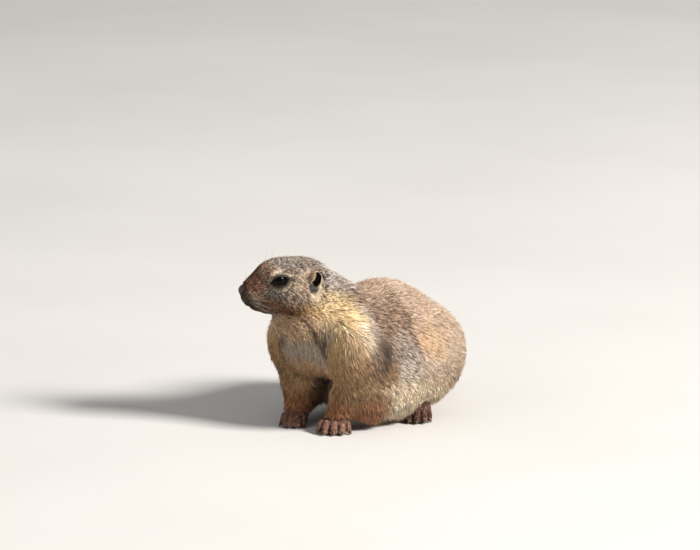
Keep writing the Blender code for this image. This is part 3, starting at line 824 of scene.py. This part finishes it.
    # The ear is pale round its rim and on the lobe at its front, darkened inside with painted shade, and slate below
    ear, _ = ear_place(head)
    from_ear = lengths(ear)
    by_ear = (ear[:, 1] > -1.5) * on_head
    flat_ear = ear * (1, 0, 1)
    mark(colour(0.66, 0.58, 0.48), kinds_share["ear"], 0.1, 0.3)
    rim = ridge(np.hypot(ear[:, 0] / 5.6, (ear[:, 2] + 1.4) / 9.2) - 1, 0.26) * faded(ear[:, 0], 1.5, 4)
    mark(colour(0.84, 0.76, 0.64), by_ear * rim * (from_ear < 14) * 0.9, 0.06, 0.4)
    mark(colour(0.60, 0.51, 0.40), by_ear * spot(flat_ear, (3.2, 0, 2.2), (2.6, 1, 4.4), 0.4), 0.12, 0.25)
    mark(colour(0.33, 0.32, 0.31), by_ear * spot(flat_ear, (0.9, 0, -5.2), (3.9, 1, 3.0), 0.35), 0.4, 0.25)
    # painted shade in the ear's hollow crescent
    mark(PAINTED_SHADE * 0.8, by_ear * np.clip(ear_crescent(ear) * 1.6, 0, 1) * (from_ear < 11))
    # Bare grey skin spreads from the nose pad over its sides, with painted shade in the crease under it
    pad = pad_reach(head)
    mark(NOSE_GREY, on_head * faded(pad, 0.95, 1.05), 0, 0)
    # painted shade in the crease under the pad
    mark(PAINTED_SHADE, on_head * ridge(pad - 1.06, 0.06) * (w < -5) * 0.5)
    # The mouth's line: painted shade along its groove
    mark(BLACK, on_head * ridge(w - mouth_height(u), 0.7) * eased(u, 32, 35))

    # The tail is brown and ends in black, and the feet are caked in reddish mud; the hind feet are darkened further
    # with painted shade
    mark(colour(0.66, 0.53, 0.40), kinds_share["tail"], 0.25, 0.2)
    mark(BLACK, kinds_share["tail_tip"], 0.0, 0.0)
    feet = together(kinds_share, ON_FEET)
    mark(FOOT, feet * 1.3)
    mark(colour(0.31, 0.21, 0.17), feet * eased(ripple(body, 2.4, 51), -0.2, 0.5) * 0.6)
    mark(colour(0.55, 0.43, 0.36), feet * eased(ripple(body, 1.6, 52), 0.35, 0.8) * 0.6)
    # painted shade: the hind feet darker than the forefeet, as under the haunches
    mark(colour(0.235, 0.14, 0.11), kinds_share["hindfoot"] * 0.85)
    return tone, dark, pale


def pad_reach(head):
    """1 at the edge of the bare skin of the nose, and less inside it."""
    return lengths((mirrored(head, 1) - (50.6, 1.0, -4.3)) / (4.9, 7.2, 4.7))


# The lie of the hair


def lie_of_hair(body, kinds_share, normals):
    """Which way the hair points over each place."""
    head = head_frame(body)
    cheek = mirrored(head, 1)
    side = np.sign(head[:, 1])
    way = np.zeros((len(body), 3))

    def add(direction, share):
        nonlocal way
        way = way + np.asarray(direction, float) * np.asarray(share)[:, None]

    trunk = columns(0, 1, -0.08 - 0.75 * eased(np.abs(normals[:, 0]), 0.2, 0.8))
    down = eased(-normals[:, 1], 0.2, 0.7) * faded(body[:, 1], -50, -38)
    trunk = trunk * (1 - down)[:, None] + np.array((0, 0.1, -1.0)) * down[:, None]
    low = faded(body[:, 2], 22, 42)
    outward = np.sign(body[:, 0]) * 0.25
    falling = columns(outward * low, -0.45 * low, -0.9 * low)
    trunk = trunk + falling
    add(trunk, kinds_share["torso"] + kinds_share["neck"] * 0.7)
    add((0, 0.85, -0.75), kinds_share["thigh"])
    add(falling * 0.8, kinds_share["thigh"])
    add((0, 0.55, -0.9), kinds_share["upper_foreleg"])
    add((0, 0.2, -1), kinds_share["lower_foreleg"] + kinds_share["forepaw"])
    add((0, -0.6, -0.8), kinds_share["hindfoot"])

    back = np.tile((-1, 0, -0.12), (len(body), 1))
    droop = spot(cheek, (8, 18, -8), (18, 12, 14), 0.5)
    back[:, 2] -= 0.55 * droop
    off, flat = eye_place(head)
    round_eye = np.exp(-np.maximum(outside_almond(flat), 0) / 2.2) * (flat[:, 2] > 0)
    from_eye = unit(off * np.array((1, 0.2, 1)))
    back = back + from_eye * (1.1 * round_eye)[:, None]
    from_nose = head - np.array(NOSE_AT)
    back = back + unit(from_nose) * faded(lengths(from_nose), 6, 12)[:, None]
    add(turned_from_head(back), kinds_share["head"] + kinds_share["lower_jaw"] + kinds_share["neck"] * 0.3)
    ear = columns(-0.7, 0.5 * side, 0.6)
    add(turned_from_head(ear), kinds_share["ear"])

    line = np.array(TAIL_LINE, float)
    middles, steps = (line[:-1] + line[1:]) / 2, np.diff(line, axis=0)
    nearest = np.argmin(((body[:, None, :2] - middles) ** 2).sum(2), axis=1)
    along = unit(np.c_[steps, np.zeros(len(steps))])[nearest]
    add(along, together(kinds_share, ON_TAIL) * 1.2)
    flat_way = way - normals * (way * normals).sum(1)[:, None]
    return unit(flat_way)


# The coat

TUFTS = 240000
LOCK = 5  # tufts that gather in one lock
LOCK_LEAN, OWN_LEAN = 0.07, 0.10  # how far locks, and tufts within them, lean off the lie of the hair
GATHER = 0.14  # how far the tips in a lock are drawn together
STRAYS = 0.04  # share of the tufts that stand higher
MIDDLE_ALONG, MIDDLE_RISE = 0.42, 0.66  # where a tuft's middle lies between root and tip, and how high
OWN_SHADE, LOCK_SHADE = 0.26, 0.14  # how much tufts and locks differ in lightness
ALIKE = 0.5  # share of the tufts that are dark or pale with their lock
SPREAD_ON_SKIN = 0.0015  # of one tuft on the skin's flat map
ROOT_DEPTH = 0.3  # of a hair in the skin
MOST_TUFTS = 32000  # in one piece
BACK_FROM, HAUNCH_FROM, SHOULDER_TO, FACE_FROM = 66, 6, -36, 14  # where the coat's pieces meet


class Field:
    """What the coat needs to know at each corner of the skin."""

    def __init__(self, skin):
        mesh = skin.data
        self.places = corners(mesh)
        self.normals = corner_normals(mesh)
        ends = edge_ends(mesh)
        nearest = np.eye(len(KINDS))[nearest_kinds(self.places)]
        share, crisp = evened(nearest, ends, 10), evened(nearest, ends, 3)
        self.share, crisp_share = dict(zip(KINDS, share.T)), dict(zip(KINDS, crisp.T))
        self.body = body_frame(self.places)
        self.head = head_frame(self.body)
        smooth_normals = unit(evened(self.normals, ends, 12))
        way = lie_of_hair(self.body, self.share, smooth_normals)
        way = unit(evened(way, ends, 25))
        self.way = unit(way - self.normals * (way * self.normals).sum(1)[:, None])
        self.tone, self.dark, self.pale = markings(self.body, crisp_share, smooth_normals)
        table = np.array([COAT[kind] for kind in KINDS])
        self.depth, self.length, self.width, self.density = (share @ table).T
        self.groove = hollows(self.places, self.normals, ends)
        feet = together(crisp_share, ON_FEET)
        # painted shade in the grooves between the toes
        self.tone += (PAINTED_SHADE - self.tone) * (self.groove * np.clip(feet, 0, 1) * 0.8)[:, None]
        self.adjust()

    def draw_to(self, where, **wanted):
        """Draws measures of the coat to other ones, as far as where says."""
        for name, value in wanted.items():
            here = getattr(self, name)
            here += (value - here) * where

    def adjust(self):
        """Shortens the hair on the face and ears, lengthens it on the shoulders and belly, and bares skin."""
        head = self.head
        u, _, w = head.T
        on_head = together(self.share, ON_HEAD)
        muzzle = eased(u, 10, 34)
        self.draw_to(self.share["head"], depth=between(2.2, 0.6, muzzle), length=between(3.9, 2.6, muzzle),
                     width=between(0.40, 0.42, muzzle), density=between(1.9, 2.0, muzzle))
        off, flat = eye_place(head)
        outside = outside_almond(flat)
        by_eye = faded(outside, 1.5, 5) * (flat[:, 2] > 0) * on_head
        self.draw_to(by_eye, length=1.5, depth=0.4, width=0.22)
        self.density *= 1 + by_eye
        ear, _ = ear_place(head)
        self.draw_to(spot(ear, (0, 0, -1), (6.5, 9, 9.5), 0.15) * on_head, length=1.0, depth=0.3, width=0.26)
        self.draw_to(on_head * spot(head, (47, 0, -11), (7, 10, 6), 0.4), length=1.0, depth=0.25, width=0.2)
        self.length += 3.5 * spot(mirrored(self.body, 0), (29, -60, 72), (16, 16, 20), 0.5)
        feet = together(self.share, ON_FEET)
        self.loose = faded(self.body[:, 2], 15, 28) * eased(self.body[:, 1], -52, -42)
        self.loose *= (1 - np.clip(feet * 1.5, 0, 1)) * (1 - self.share["tail"] - self.share["tail_tip"])
        self.length += 2.5 * self.loose
        self.density *= faded(feet, 0.65, 0.9)
        eye = (outside < 0.55) & (flat[:, 2] > 0) & (lengths(off) < 9)
        nose = pad_reach(head) < 1.06
        inside_ear = (ear_crescent(ear) > 0.15) & (lengths(ear / (6, 8, 9.5)) < 1)
        mouth = (np.abs(w - mouth_height(u)) < 0.5) & (u > 33) & (on_head > 0.5)
        self.density[eye | nose | inside_ear | mouth] = 0
        under = eased(-self.normals[:, 2], 0.9, 0.98) * (self.body[:, 2] < 20)
        self.density *= 1 - 0.6 * under


def grow_coat(skin, field):
    """Sets the tufts over the skin, and makes the pieces of the coat from them."""
    mesh = skin.data
    mesh.calc_loop_triangles()
    tri = rows(mesh.loop_triangles, "vertices", 3, np.int32)
    tri_loops = rows(mesh.loop_triangles, "loops", 3, np.int32)
    uv = rows(mesh.uv_layers["OFBake"].data, "uv", 2)

    a, b, c = (field.places[tri[:, i]] for i in range(3))
    area = lengths(np.cross(b - a, c - a)) / 2
    weight = area * field.density[tri].min(1)
    total = np.cumsum(weight)
    picks = (np.arange(TUFTS) + random.random(TUFTS)) / TUFTS * total[-1]
    faces = np.clip(np.searchsorted(total, picks), 0, len(tri) - 1)
    mix = random.random((TUFTS, 2))
    flip = mix.sum(1) > 1
    mix[flip] = 1 - mix[flip]
    mix = np.c_[1 - mix.sum(1), mix]

    def at(values):
        picked = values[tri[faces]]
        return (picked * (mix if picked.ndim == 2 else mix[:, :, None])).sum(1)

    roots, normals, way = at(field.places), unit(at(field.normals)), at(field.way)
    depth, length, width = at(field.depth), at(field.length), at(field.width)
    loose = at(field.loose)
    root_uv = (uv[tri_loops[faces]] * mix[:, :, None]).sum(1)

    # Every lock leans its own way and has its own shade, and its tufts follow it
    guides = np.nonzero(random.random(TUFTS) < 1 / LOCK)[0]
    tree = KDTree(len(guides))
    for order, index in enumerate(guides):
        tree.insert(roots[index], order)
    tree.balance()
    first = guides[np.array([tree.find(place)[1] for place in roots])]
    lock_lean = random.normal(size=(TUFTS, 3))[first]
    own_lean = random.normal(size=(TUFTS, 3))
    lean = lock_lean * LOCK_LEAN + own_lean * OWN_LEAN
    way = way + lean - normals * (lean * normals).sum(1)[:, None]
    way = unit(way - normals * (way * normals).sum(1)[:, None])
    length = length * random.uniform(0.72, 1.2, TUFTS) * (1 + 0.08 * lock_lean[:, 0])
    stray = random.random(TUFTS) < STRAYS
    height = depth * random.uniform(0.72, 1.22, TUFTS) * (1 + 0.06 * lock_lean[:, 1]) * (1 + 0.45 * stray)
    tips = roots + way * (length * MM)[:, None]
    tips += (tips[first] - tips) * GATHER

    surface = BVHTree.FromPolygons([Vector(p) for p in field.places], [tuple(f) for f in tri.tolist()])

    def raised(points, rise):
        found = [surface.find_nearest(Vector(p)) for p in points]
        hits = np.array([hit[0] for hit in found])
        outs = np.array([hit[1] for hit in found])
        return hits + outs * (rise * MM)[:, None]

    middles = raised(roots + (tips - roots) * MIDDLE_ALONG, height * MIDDLE_RISE)
    drop = unit(way * 0.5 + np.array((0, 0, -0.85)))
    hanging = roots + (drop * length[:, None] + normals * (height * 0.45)[:, None]) * MM
    tips = raised(tips, height)
    tips += (hanging - tips) * (loose * random.uniform(0.4, 1, TUFTS))[:, None]
    keep_above(middles, 0.6)
    keep_above(tips, 0.2)

    stations = hair_colours(field, at, first, lock_lean)
    pieces = []
    for name, members in coat_zones(field, at).items():
        chunks = max(1, math.ceil(len(members) / MOST_TUFTS))
        for number, part in enumerate(np.array_split(members, chunks), 1):
            title = f"coat_{name}" + (f"_{number}" if chunks > 1 else "")
            tufts = (values[part] for values in (roots, middles, tips, normals, width, stations, root_uv))
            pieces.append(tuft_object(title, *tufts))
    return pieces


def hair_colours(field, at, first, lock_lean):
    """The colours of each tuft at its root, its middle and its tip, from its place and the first tuft of its lock."""
    tone, dark, pale = at(field.tone), at(field.dark), at(field.pale)
    draw = random.random(TUFTS)
    alike = random.random(TUFTS) < ALIKE
    draw = np.where(alike, draw[first], draw)
    speckle = ripple(at(field.body), 1.2, 83) * np.minimum(dark / 0.3, 1)
    draw = draw + (0.15 + 0.1 * at(field.share["head"])) * speckle
    is_dark, is_pale = draw < dark, draw > 1 - pale
    lock_shade = LOCK_SHADE * lock_lean[:, 2] * (0.4 + 2.4 * np.minimum(dark, 0.25))
    shade = np.exp(random.normal(size=TUFTS) * OWN_SHADE + lock_shade)
    rooted = (tone * 0.8 + tone.mean(1)[:, None] * 0.2) * 0.45
    mid = tone * shade[:, None]
    tip = tone * (shade * 1.15)[:, None]
    faint = 1 - np.minimum(dark / 0.24, 1)[is_dark][:, None]
    mid[is_dark] *= 0.36 + 0.4 * faint
    tip[is_dark] *= 0.2 + 0.45 * faint
    mid[is_pale] *= 1.15
    tip[is_pale] = tip[is_pale] * 0.25 + np.minimum(tip[is_pale] * 1.8 + 0.06, PALE) * 0.75
    return np.clip(np.stack([rooted, mid, tip], 1), 0, 1)


def coat_zones(field, at):
    """Which tufts go in which piece of the coat."""
    body = at(field.body)
    tip_share = at(field.share["tail_tip"])
    on_head = at(together(field.share, ON_HEAD)) > 0.5
    x, y, z = body.T
    left, low, rear, front = x > 0, z < BACK_FROM, y > HAUNCH_FROM, y < SHOULDER_TO
    zone = np.full(len(body), "back", dtype="U20")
    for name, where in (("side", low), ("haunch", low & rear), ("shoulder", front)):
        zone[where & left], zone[where & ~left] = f"left_{name}", f"right_{name}"
    zone[at(field.share["neck"]) > 0.4] = "neck"
    zone[on_head] = "crown"
    zone[on_head & (head_frame(body)[:, 0] > FACE_FROM)] = "face"
    zone[at(field.share["tail"]) + tip_share > 0.5] = "tail"
    zone[tip_share > 0.5] = "tail_tip"
    return {str(name): np.nonzero(zone == name)[0] for name in np.unique(zone)}


def tuft_object(name, roots, middles, tips, normals, width, stations, root_uv):
    """Closed, three-sided tufts, widest in their middles and pointed at both ends."""
    along = unit(tips - roots)
    across = unit(np.cross(normals, along))
    up = unit(np.cross(along, across))
    half = (width * MM / 2)[:, None]
    ring = [middles - across * half, middles + across * half, middles + up * half * 0.9]
    places = np.stack([roots - normals * ROOT_DEPTH * MM, *ring, tips], 1).reshape(-1, 3)
    faces = repeated([(0, 2, 1), (0, 3, 2), (0, 1, 3), (1, 2, 4), (2, 3, 4), (3, 1, 4)], 5, len(roots))
    obj = mesh_from_arrays(name, places, faces)
    tones = stations[:, [0, 1, 1, 1, 2]].reshape(-1, 3)
    paint(obj.data, "coat_colour", tones)
    patch = np.array([(0, 0), (-1, 1), (1, 1), (0, 1), (0, 2)]) * SPREAD_ON_SKIN
    uvs = (root_uv[:, None] + patch[None]).reshape(-1, 2)
    layer = obj.data.uv_layers.new(name="OFBake")
    layer.data.foreach_set("uv", uvs[faces.ravel()].astype(np.float32).ravel())
    return obj


# Eyes, lids, nose, claws, mud, whiskers

LID_GAP = 0.1
CLAW_GROWTH = 0.28  # makes up for what rounding takes off a claw
MUD_CRUMBS = 420
WHISKER_RADIUS = 0.13


def make_eye(side, out):
    centre = from_head(to_side(EYE_AT, out))
    eye = ball(f"{side}_eyeball", 56, 36, EYE_RADIUS * MM, centre)
    axis = np.array(HEAD_TURNED @ to_side(GAZE, out).normalized())
    places = corners(eye.data)
    off = (places - np.array(centre)) / MM
    facing = (off @ axis) / EYE_RADIUS
    cornea = eased(facing, 0.72, 0.95)
    places = np.array(centre) + off * (1 + CORNEA * cornea)[:, None] * MM
    put_corners(eye.data, places)
    angles = np.arccos(np.clip(facing, -1, 1)) / 1.2
    eye.data.attributes.new("from_pupil", "FLOAT", "POINT").data.foreach_set("value", angles.astype(np.float32))
    return eye


def make_lids(side, out):
    """A thin dark rim where the lids meet the eye."""
    tilt = math.radians(EYE_TILT)
    along = Vector((math.cos(tilt), 0, -math.sin(tilt)))
    across = Vector((math.sin(tilt), 0, math.cos(tilt)))
    steps, sides = 72, 8
    centre = to_side(EYE_AT, out)
    line = []
    for step in range(steps):
        angle = math.tau * step / steps
        rise = math.sin(angle) * abs(math.sin(angle)) ** 0.35
        x, y = (EYE_OPENING[0] / 2 + LID_GAP) * math.cos(angle), (EYE_OPENING[1] / 2 + LID_GAP) * rise
        depth = math.sqrt(max((EYE_RADIUS + LID_GAP) ** 2 - x * x - y * y, 0.3))
        line.append(along * x + across * y + Vector((0, out, 0)) * depth)
    places = []
    for step, point in enumerate(line):
        ahead = (line[(step + 1) % steps] - line[step - 1]).normalized()
        outward = point.normalized()
        beside = ahead.cross(outward).normalized()
        thick = 0.34 + 0.14 * max(point.dot(across), 0) / 4
        for turn in range(sides):
            angle = math.tau * turn / sides
            off = outward * math.cos(angle) + beside * math.sin(angle)
            places.append(from_head(centre + point + off * thick))
    lids = mesh_from_arrays(f"{side}_lids", np.array(places), np.array(tube_faces(steps, sides, closed=True)))
    face_outwards(lids)
    return lids


def make_nose():
    """A rounded pad with a comma-shaped nostril on each side and a groove down its middle."""
    nose = ball("nose_pad", 72, 48, 1)
    way = corners(nose.data)
    head = np.array(NOSE_AT) + way * (np.array(NOSE_SIZE) + 0.45)
    head[:, 2] += 0.35 * way[:, 0] * np.abs(way[:, 1])
    folded = mirrored(head, 1)
    pit = np.zeros(len(head))
    for u, v, w, size in ((50.6, 1.6, -5.6, 0.85), (49.7, 2.8, -5.7, 1.0), (48.7, 3.9, -6.2, 0.9)):
        pit = np.maximum(pit, ridge(lengths(folded - (u, v, w)), size))
    groove = ridge(head[:, 1], 0.35) * faded(head[:, 2], -4.5, -3) * (head[:, 0] > 46)
    grain = 0.06 * ripple(head, 0.7, 71)
    head = head - unit(way / np.array(NOSE_SIZE)) * (2.0 * pit + 0.5 * groove + grain)[:, None]
    put_corners(nose.data, all_from_head(head))
    return nose


def make_claws(foot):
    """The claws of one foot, rounded off from the solids."""
    names = [name for name in CLAWS if name.startswith(foot)]
    claws = merged_copy(names, f"{foot}_claws")
    grow(claws, CLAW_GROWTH)
    rounder = claws.modifiers.new("rounder", "SUBSURF")
    rounder.levels = rounder.render_levels = 2
    apply_all(claws)
    bpy.ops.object.shade_smooth()
    places = corners(claws.data)
    keep_above(places, 0.2)
    put_corners(claws.data, places)
    return claws, names


def make_mud(field):
    """Crumbs of dried mud: small, uneven lumps stuck to the toes and a few specks on the muzzle."""
    feet = np.clip((together(field.share, ON_FEET) - 0.55) / 0.3, 0, 1)
    feet *= (field.normals[:, 2] > -0.3) * (field.places[:, 2] > 0.001) * (field.groove < 0.2)
    muzzle = field.share["head"] * eased(field.head[:, 0], 33, 38) * (field.head[:, 2] > -5) * 0.10
    bare = lengths((field.head - np.array(NOSE_AT)) / (np.array(NOSE_SIZE) + 1.6)) < 1
    muzzle[bare] = 0
    weight = feet + muzzle
    chance = weight / weight.sum()
    chosen = random.choice(len(weight), MUD_CRUMBS, replace=False, p=chance)
    on_foot = feet[chosen] > muzzle[chosen]
    size = np.where(on_foot, random.uniform(0.25, 0.75, MUD_CRUMBS), random.uniform(0.14, 0.34, MUD_CRUMBS))
    around, rings = 6, 4
    turns = np.arange(around) * math.tau / around
    heights = np.arange(1, rings + 1) * math.pi / (rings + 1)
    rounds = [(math.sin(h) * math.cos(t), math.sin(h) * math.sin(t), math.cos(h)) for h in heights for t in turns]
    crumb = np.array([(0, 0, 1), *rounds, (0, 0, -1)])
    last = len(crumb) - 1
    faces = []
    for t in range(around):
        beside = (t + 1) % around
        faces.append((0, 1 + t, 1 + beside))
        for ring in range(rings - 1):
            a, b = 1 + ring * around + t, 1 + ring * around + beside
            faces += [(a, a + around, b + around), (a, b + around, b)]
        faces.append((last, 1 + (rings - 1) * around + beside, 1 + (rings - 1) * around + t))
    uneven = random.uniform(0.72, 1.25, (MUD_CRUMBS, len(crumb), 1))
    normals = field.normals[chosen]
    across = unit(np.cross(normals, random.normal(size=(MUD_CRUMBS, 3))))
    other = np.cross(normals, across)
    lumps = crumb[None] * uneven * (size[:, None] * (1, 1.25, 0.6))[:, None]
    off = lumps[..., :1] * across[:, None] + lumps[..., 1:2] * other[:, None] + lumps[..., 2:] * normals[:, None]
    places = (field.places[chosen][:, None] + off * MM).reshape(-1, 3)
    keep_above(places, 0.2)
    return mesh_from_arrays("dried_mud", places, repeated(faces, len(crumb), MUD_CRUMBS))


# From the root, in the head's frame: where it starts, which way it points, and its length
WHISKERS = [
    *(((41 + 1.6 * i, 7.4 - 0.5 * i, -8 - 0.9 * j), (-0.35 - 0.1 * i, 1, 0.1 - 0.25 * j), 17 - 2 * i)
      for i in range(3) for j in range(3)),
    ((30, 9, 13), (0.1, 0.6, 1), 12),
    ((27, 9.5, 14.5), (-0.2, 0.6, 1), 13),
    ((44.5, 3.5, 1.5), (0.35, 0.25, 1), 9),
    ((16, 18, -8), (-0.3, 1, -0.3), 10),
]


def make_whiskers(surface):
    """Thin, stiff, tapering hairs on the lips, the brow and the cheek."""
    places = []
    sides, steps = 4, 7
    for out in SIDES.values():
        for root, way, length in WHISKERS:
            hit = surface.find_nearest(from_head(to_side(root, out)))
            start = hit[0] - hit[1] * ROOT_DEPTH * MM
            ahead = (HEAD_TURNED @ to_side(way, out)).normalized()
            back = HEAD_TURNED @ Vector((-1, 0, -0.25))
            beside = ahead.cross(Vector((0, 0, 1))).normalized()
            above = beside.cross(ahead)
            for step in range(steps):
                t = step / steps
                centre = start + (ahead * t + back * 0.35 * t * t) * length * MM
                for turn in range(sides):
                    angle = math.tau * turn / sides
                    off = beside * math.cos(angle) + above * math.sin(angle)
                    places.append(centre + off * WHISKER_RADIUS * MM * (1 - 0.85 * t))
            places.append(start + (ahead + back * 0.35) * length * MM)
    last = (steps - 1) * sides
    tip = [(last + turn, last + (turn + 1) % sides, last + sides) for turn in range(sides)]
    hair = [(0, 2, 1), (0, 3, 2), *tube_faces(steps, sides), *tip]
    every = repeated(hair, steps * sides + 1, 2 * len(WHISKERS))
    whiskers = mesh_from_arrays("whiskers", np.array([tuple(p) for p in places]), every)
    face_outwards(whiskers)
    return whiskers


# Floor, light and camera

CAMERA_FROM = (45, 14)  # degrees: round from the front to the animal's left, and up
CAMERA_FAR = 2.6
CAMERA_AIM = (-16.1, 100.4)  # to the right of the body's origin and above it, seen from the camera
LENS = 185.7
FLOOR_SIZE, FLOOR_Z = 24, -0.0002


def camera_axes():
    round_by, up_by = (math.radians(a) for a in CAMERA_FROM)
    back = Vector((math.sin(round_by) * math.cos(up_by), -math.cos(round_by) * math.cos(up_by), math.sin(up_by)))
    right = Vector((math.cos(round_by), math.sin(round_by), 0))
    return right, back.cross(right), back


def aimed(name, data, place, aim):
    """A camera or a lamp at a place, turned to face another."""
    obj = bpy.data.objects.new(name, data)
    bpy.context.scene.collection.objects.link(obj)
    obj.location = place
    obj.rotation_mode = "QUATERNION"
    obj.rotation_quaternion = (aim - obj.location).to_track_quat("-Z", "Y")
    return obj


def make_camera():
    right, up, back = camera_axes()
    origin = ORIGIN * MM
    aim = origin + (right * CAMERA_AIM[0] + up * CAMERA_AIM[1]) * MM
    camera = aimed("camera", bpy.data.cameras.new("camera"), origin + back * CAMERA_FAR, aim)
    camera.data.lens = LENS
    camera.data.clip_start, camera.data.clip_end = 0.1, 50
    bpy.context.scene.camera = camera


def area_light(name, way, far, size, power, tint=(1, 1, 1)):
    """A soft square light that shines on the animal. way is to the right, up and back, from the camera."""
    right, up, back = camera_axes()
    lamp = bpy.data.lights.new(name, "AREA")
    lamp.shape, lamp.size, lamp.energy, lamp.color = "SQUARE", size, power, tint
    aim = (ORIGIN + Vector((0, 0, 60))) * MM
    aimed(name, lamp, aim + (right * way[0] + up * way[1] + back * way[2]).normalized() * far, aim)


def make_studio():
    area_light("key", (0.76, 0.44, 0.48), 5, 1.15, 520, (1.0, 0.97, 0.93))
    area_light("fill", (-0.8, 0.35, 0.6), 4, 2.5, 24, (1.0, 0.98, 0.96))
    world = bpy.data.worlds.new("studio")
    bpy.context.scene.world = world
    world.use_nodes = True
    backdrop = world.node_tree.nodes["Background"]
    backdrop.inputs["Color"].default_value = (0.80, 0.81, 0.83, 1)
    backdrop.inputs["Strength"].default_value = 0.46
    bpy.ops.mesh.primitive_plane_add(size=FLOOR_SIZE, location=(0, 0, FLOOR_Z))
    floor = bpy.context.object
    floor.name = floor.data.name = "floor"
    bpy.ops.object.transform_apply()
    paper = Finish("floor", 0.9)
    paper.ramp(paper.noise(3, 2), (0.35, colour(0.80, 0.79, 0.775)), (0.65, colour(0.82, 0.81, 0.795)))
    floor.data.materials.append(paper.made)
    scene = bpy.context.scene
    scene.view_settings.view_transform = "Standard"
    scene.view_settings.look = "None"
    scene.view_settings.exposure = 0.0


def unwrap(obj):
    """Lays the skin out flat for the colours of skin and coat alike."""
    for layer in list(obj.data.uv_layers):
        obj.data.uv_layers.remove(layer)
    obj.data.uv_layers.new(name="OFBake")
    edit_whole(obj, bpy.ops.uv.smart_project, angle_limit=math.radians(70), island_margin=0.002)


def place_piece(piece, material, slot, *nodes):
    piece.data.materials.append(material)
    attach(piece, "root")
    if nodes:
        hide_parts(*nodes)


def build():
    skin = make_skin()
    unwrap(skin)
    field = Field(skin)
    paint(skin.data, "coat_colour", np.clip(field.tone * skin_shade(field)[:, None], 0, 1))
    place_piece(skin, skin_material(), "coat", *FLESH)
    fur = fur_material()
    for piece in grow_coat(skin, field):
        place_piece(piece, fur, "black_tip" if "tail_tip" in piece.name else "coat")
    gloss = eye_material()
    lid_leather = grained_material("lid", 0.5, (0.06, 0.05, 0.05), (0.16, 0.13, 0.12), 1800)
    for side, out in SIDES.items():
        place_piece(make_eye(side, out), gloss, "eye", f"{side}_eye")
        place_piece(make_lids(side, out), lid_leather, "nose")
    nose_leather = grained_material("nose", 0.5, (0.18, 0.14, 0.12), (0.31, 0.245, 0.21), 1500)
    place_piece(make_nose(), nose_leather, "nose", "nose")
    horn = grained_material("claw", 0.55, (0.17, 0.14, 0.125), (0.34, 0.26, 0.21), 700, 0.0003, 5, (0.40, 0.60))
    for side in SIDES:
        for foot in ON_FEET:
            claws, names = make_claws(f"{side}_{foot}")
            place_piece(claws, horn, "claw", *names)
    dirt = grained_material("dried_mud", 0.9, (0.33, 0.23, 0.18), (0.58, 0.45, 0.38), 1400)
    place_piece(make_mud(field), dirt, "muddy_skin")
    surface = BVHTree.FromPolygons([v.co for v in skin.data.vertices], [p.vertices for p in skin.data.polygons])
    bristle = grained_material("whisker", 0.4, (0.35, 0.30, 0.26), (0.75, 0.70, 0.62), 900)
    place_piece(make_whiskers(surface), bristle, "coat")


def skin_shade(field):
    """Skin is half as light as the coat's markings under hair, and as light as they are on the feet."""
    feet = together(field.share, ON_FEET)
    return 0.5 + 0.5 * eased(feet, 0.4, 0.8)


build()
make_camera()
make_studio()
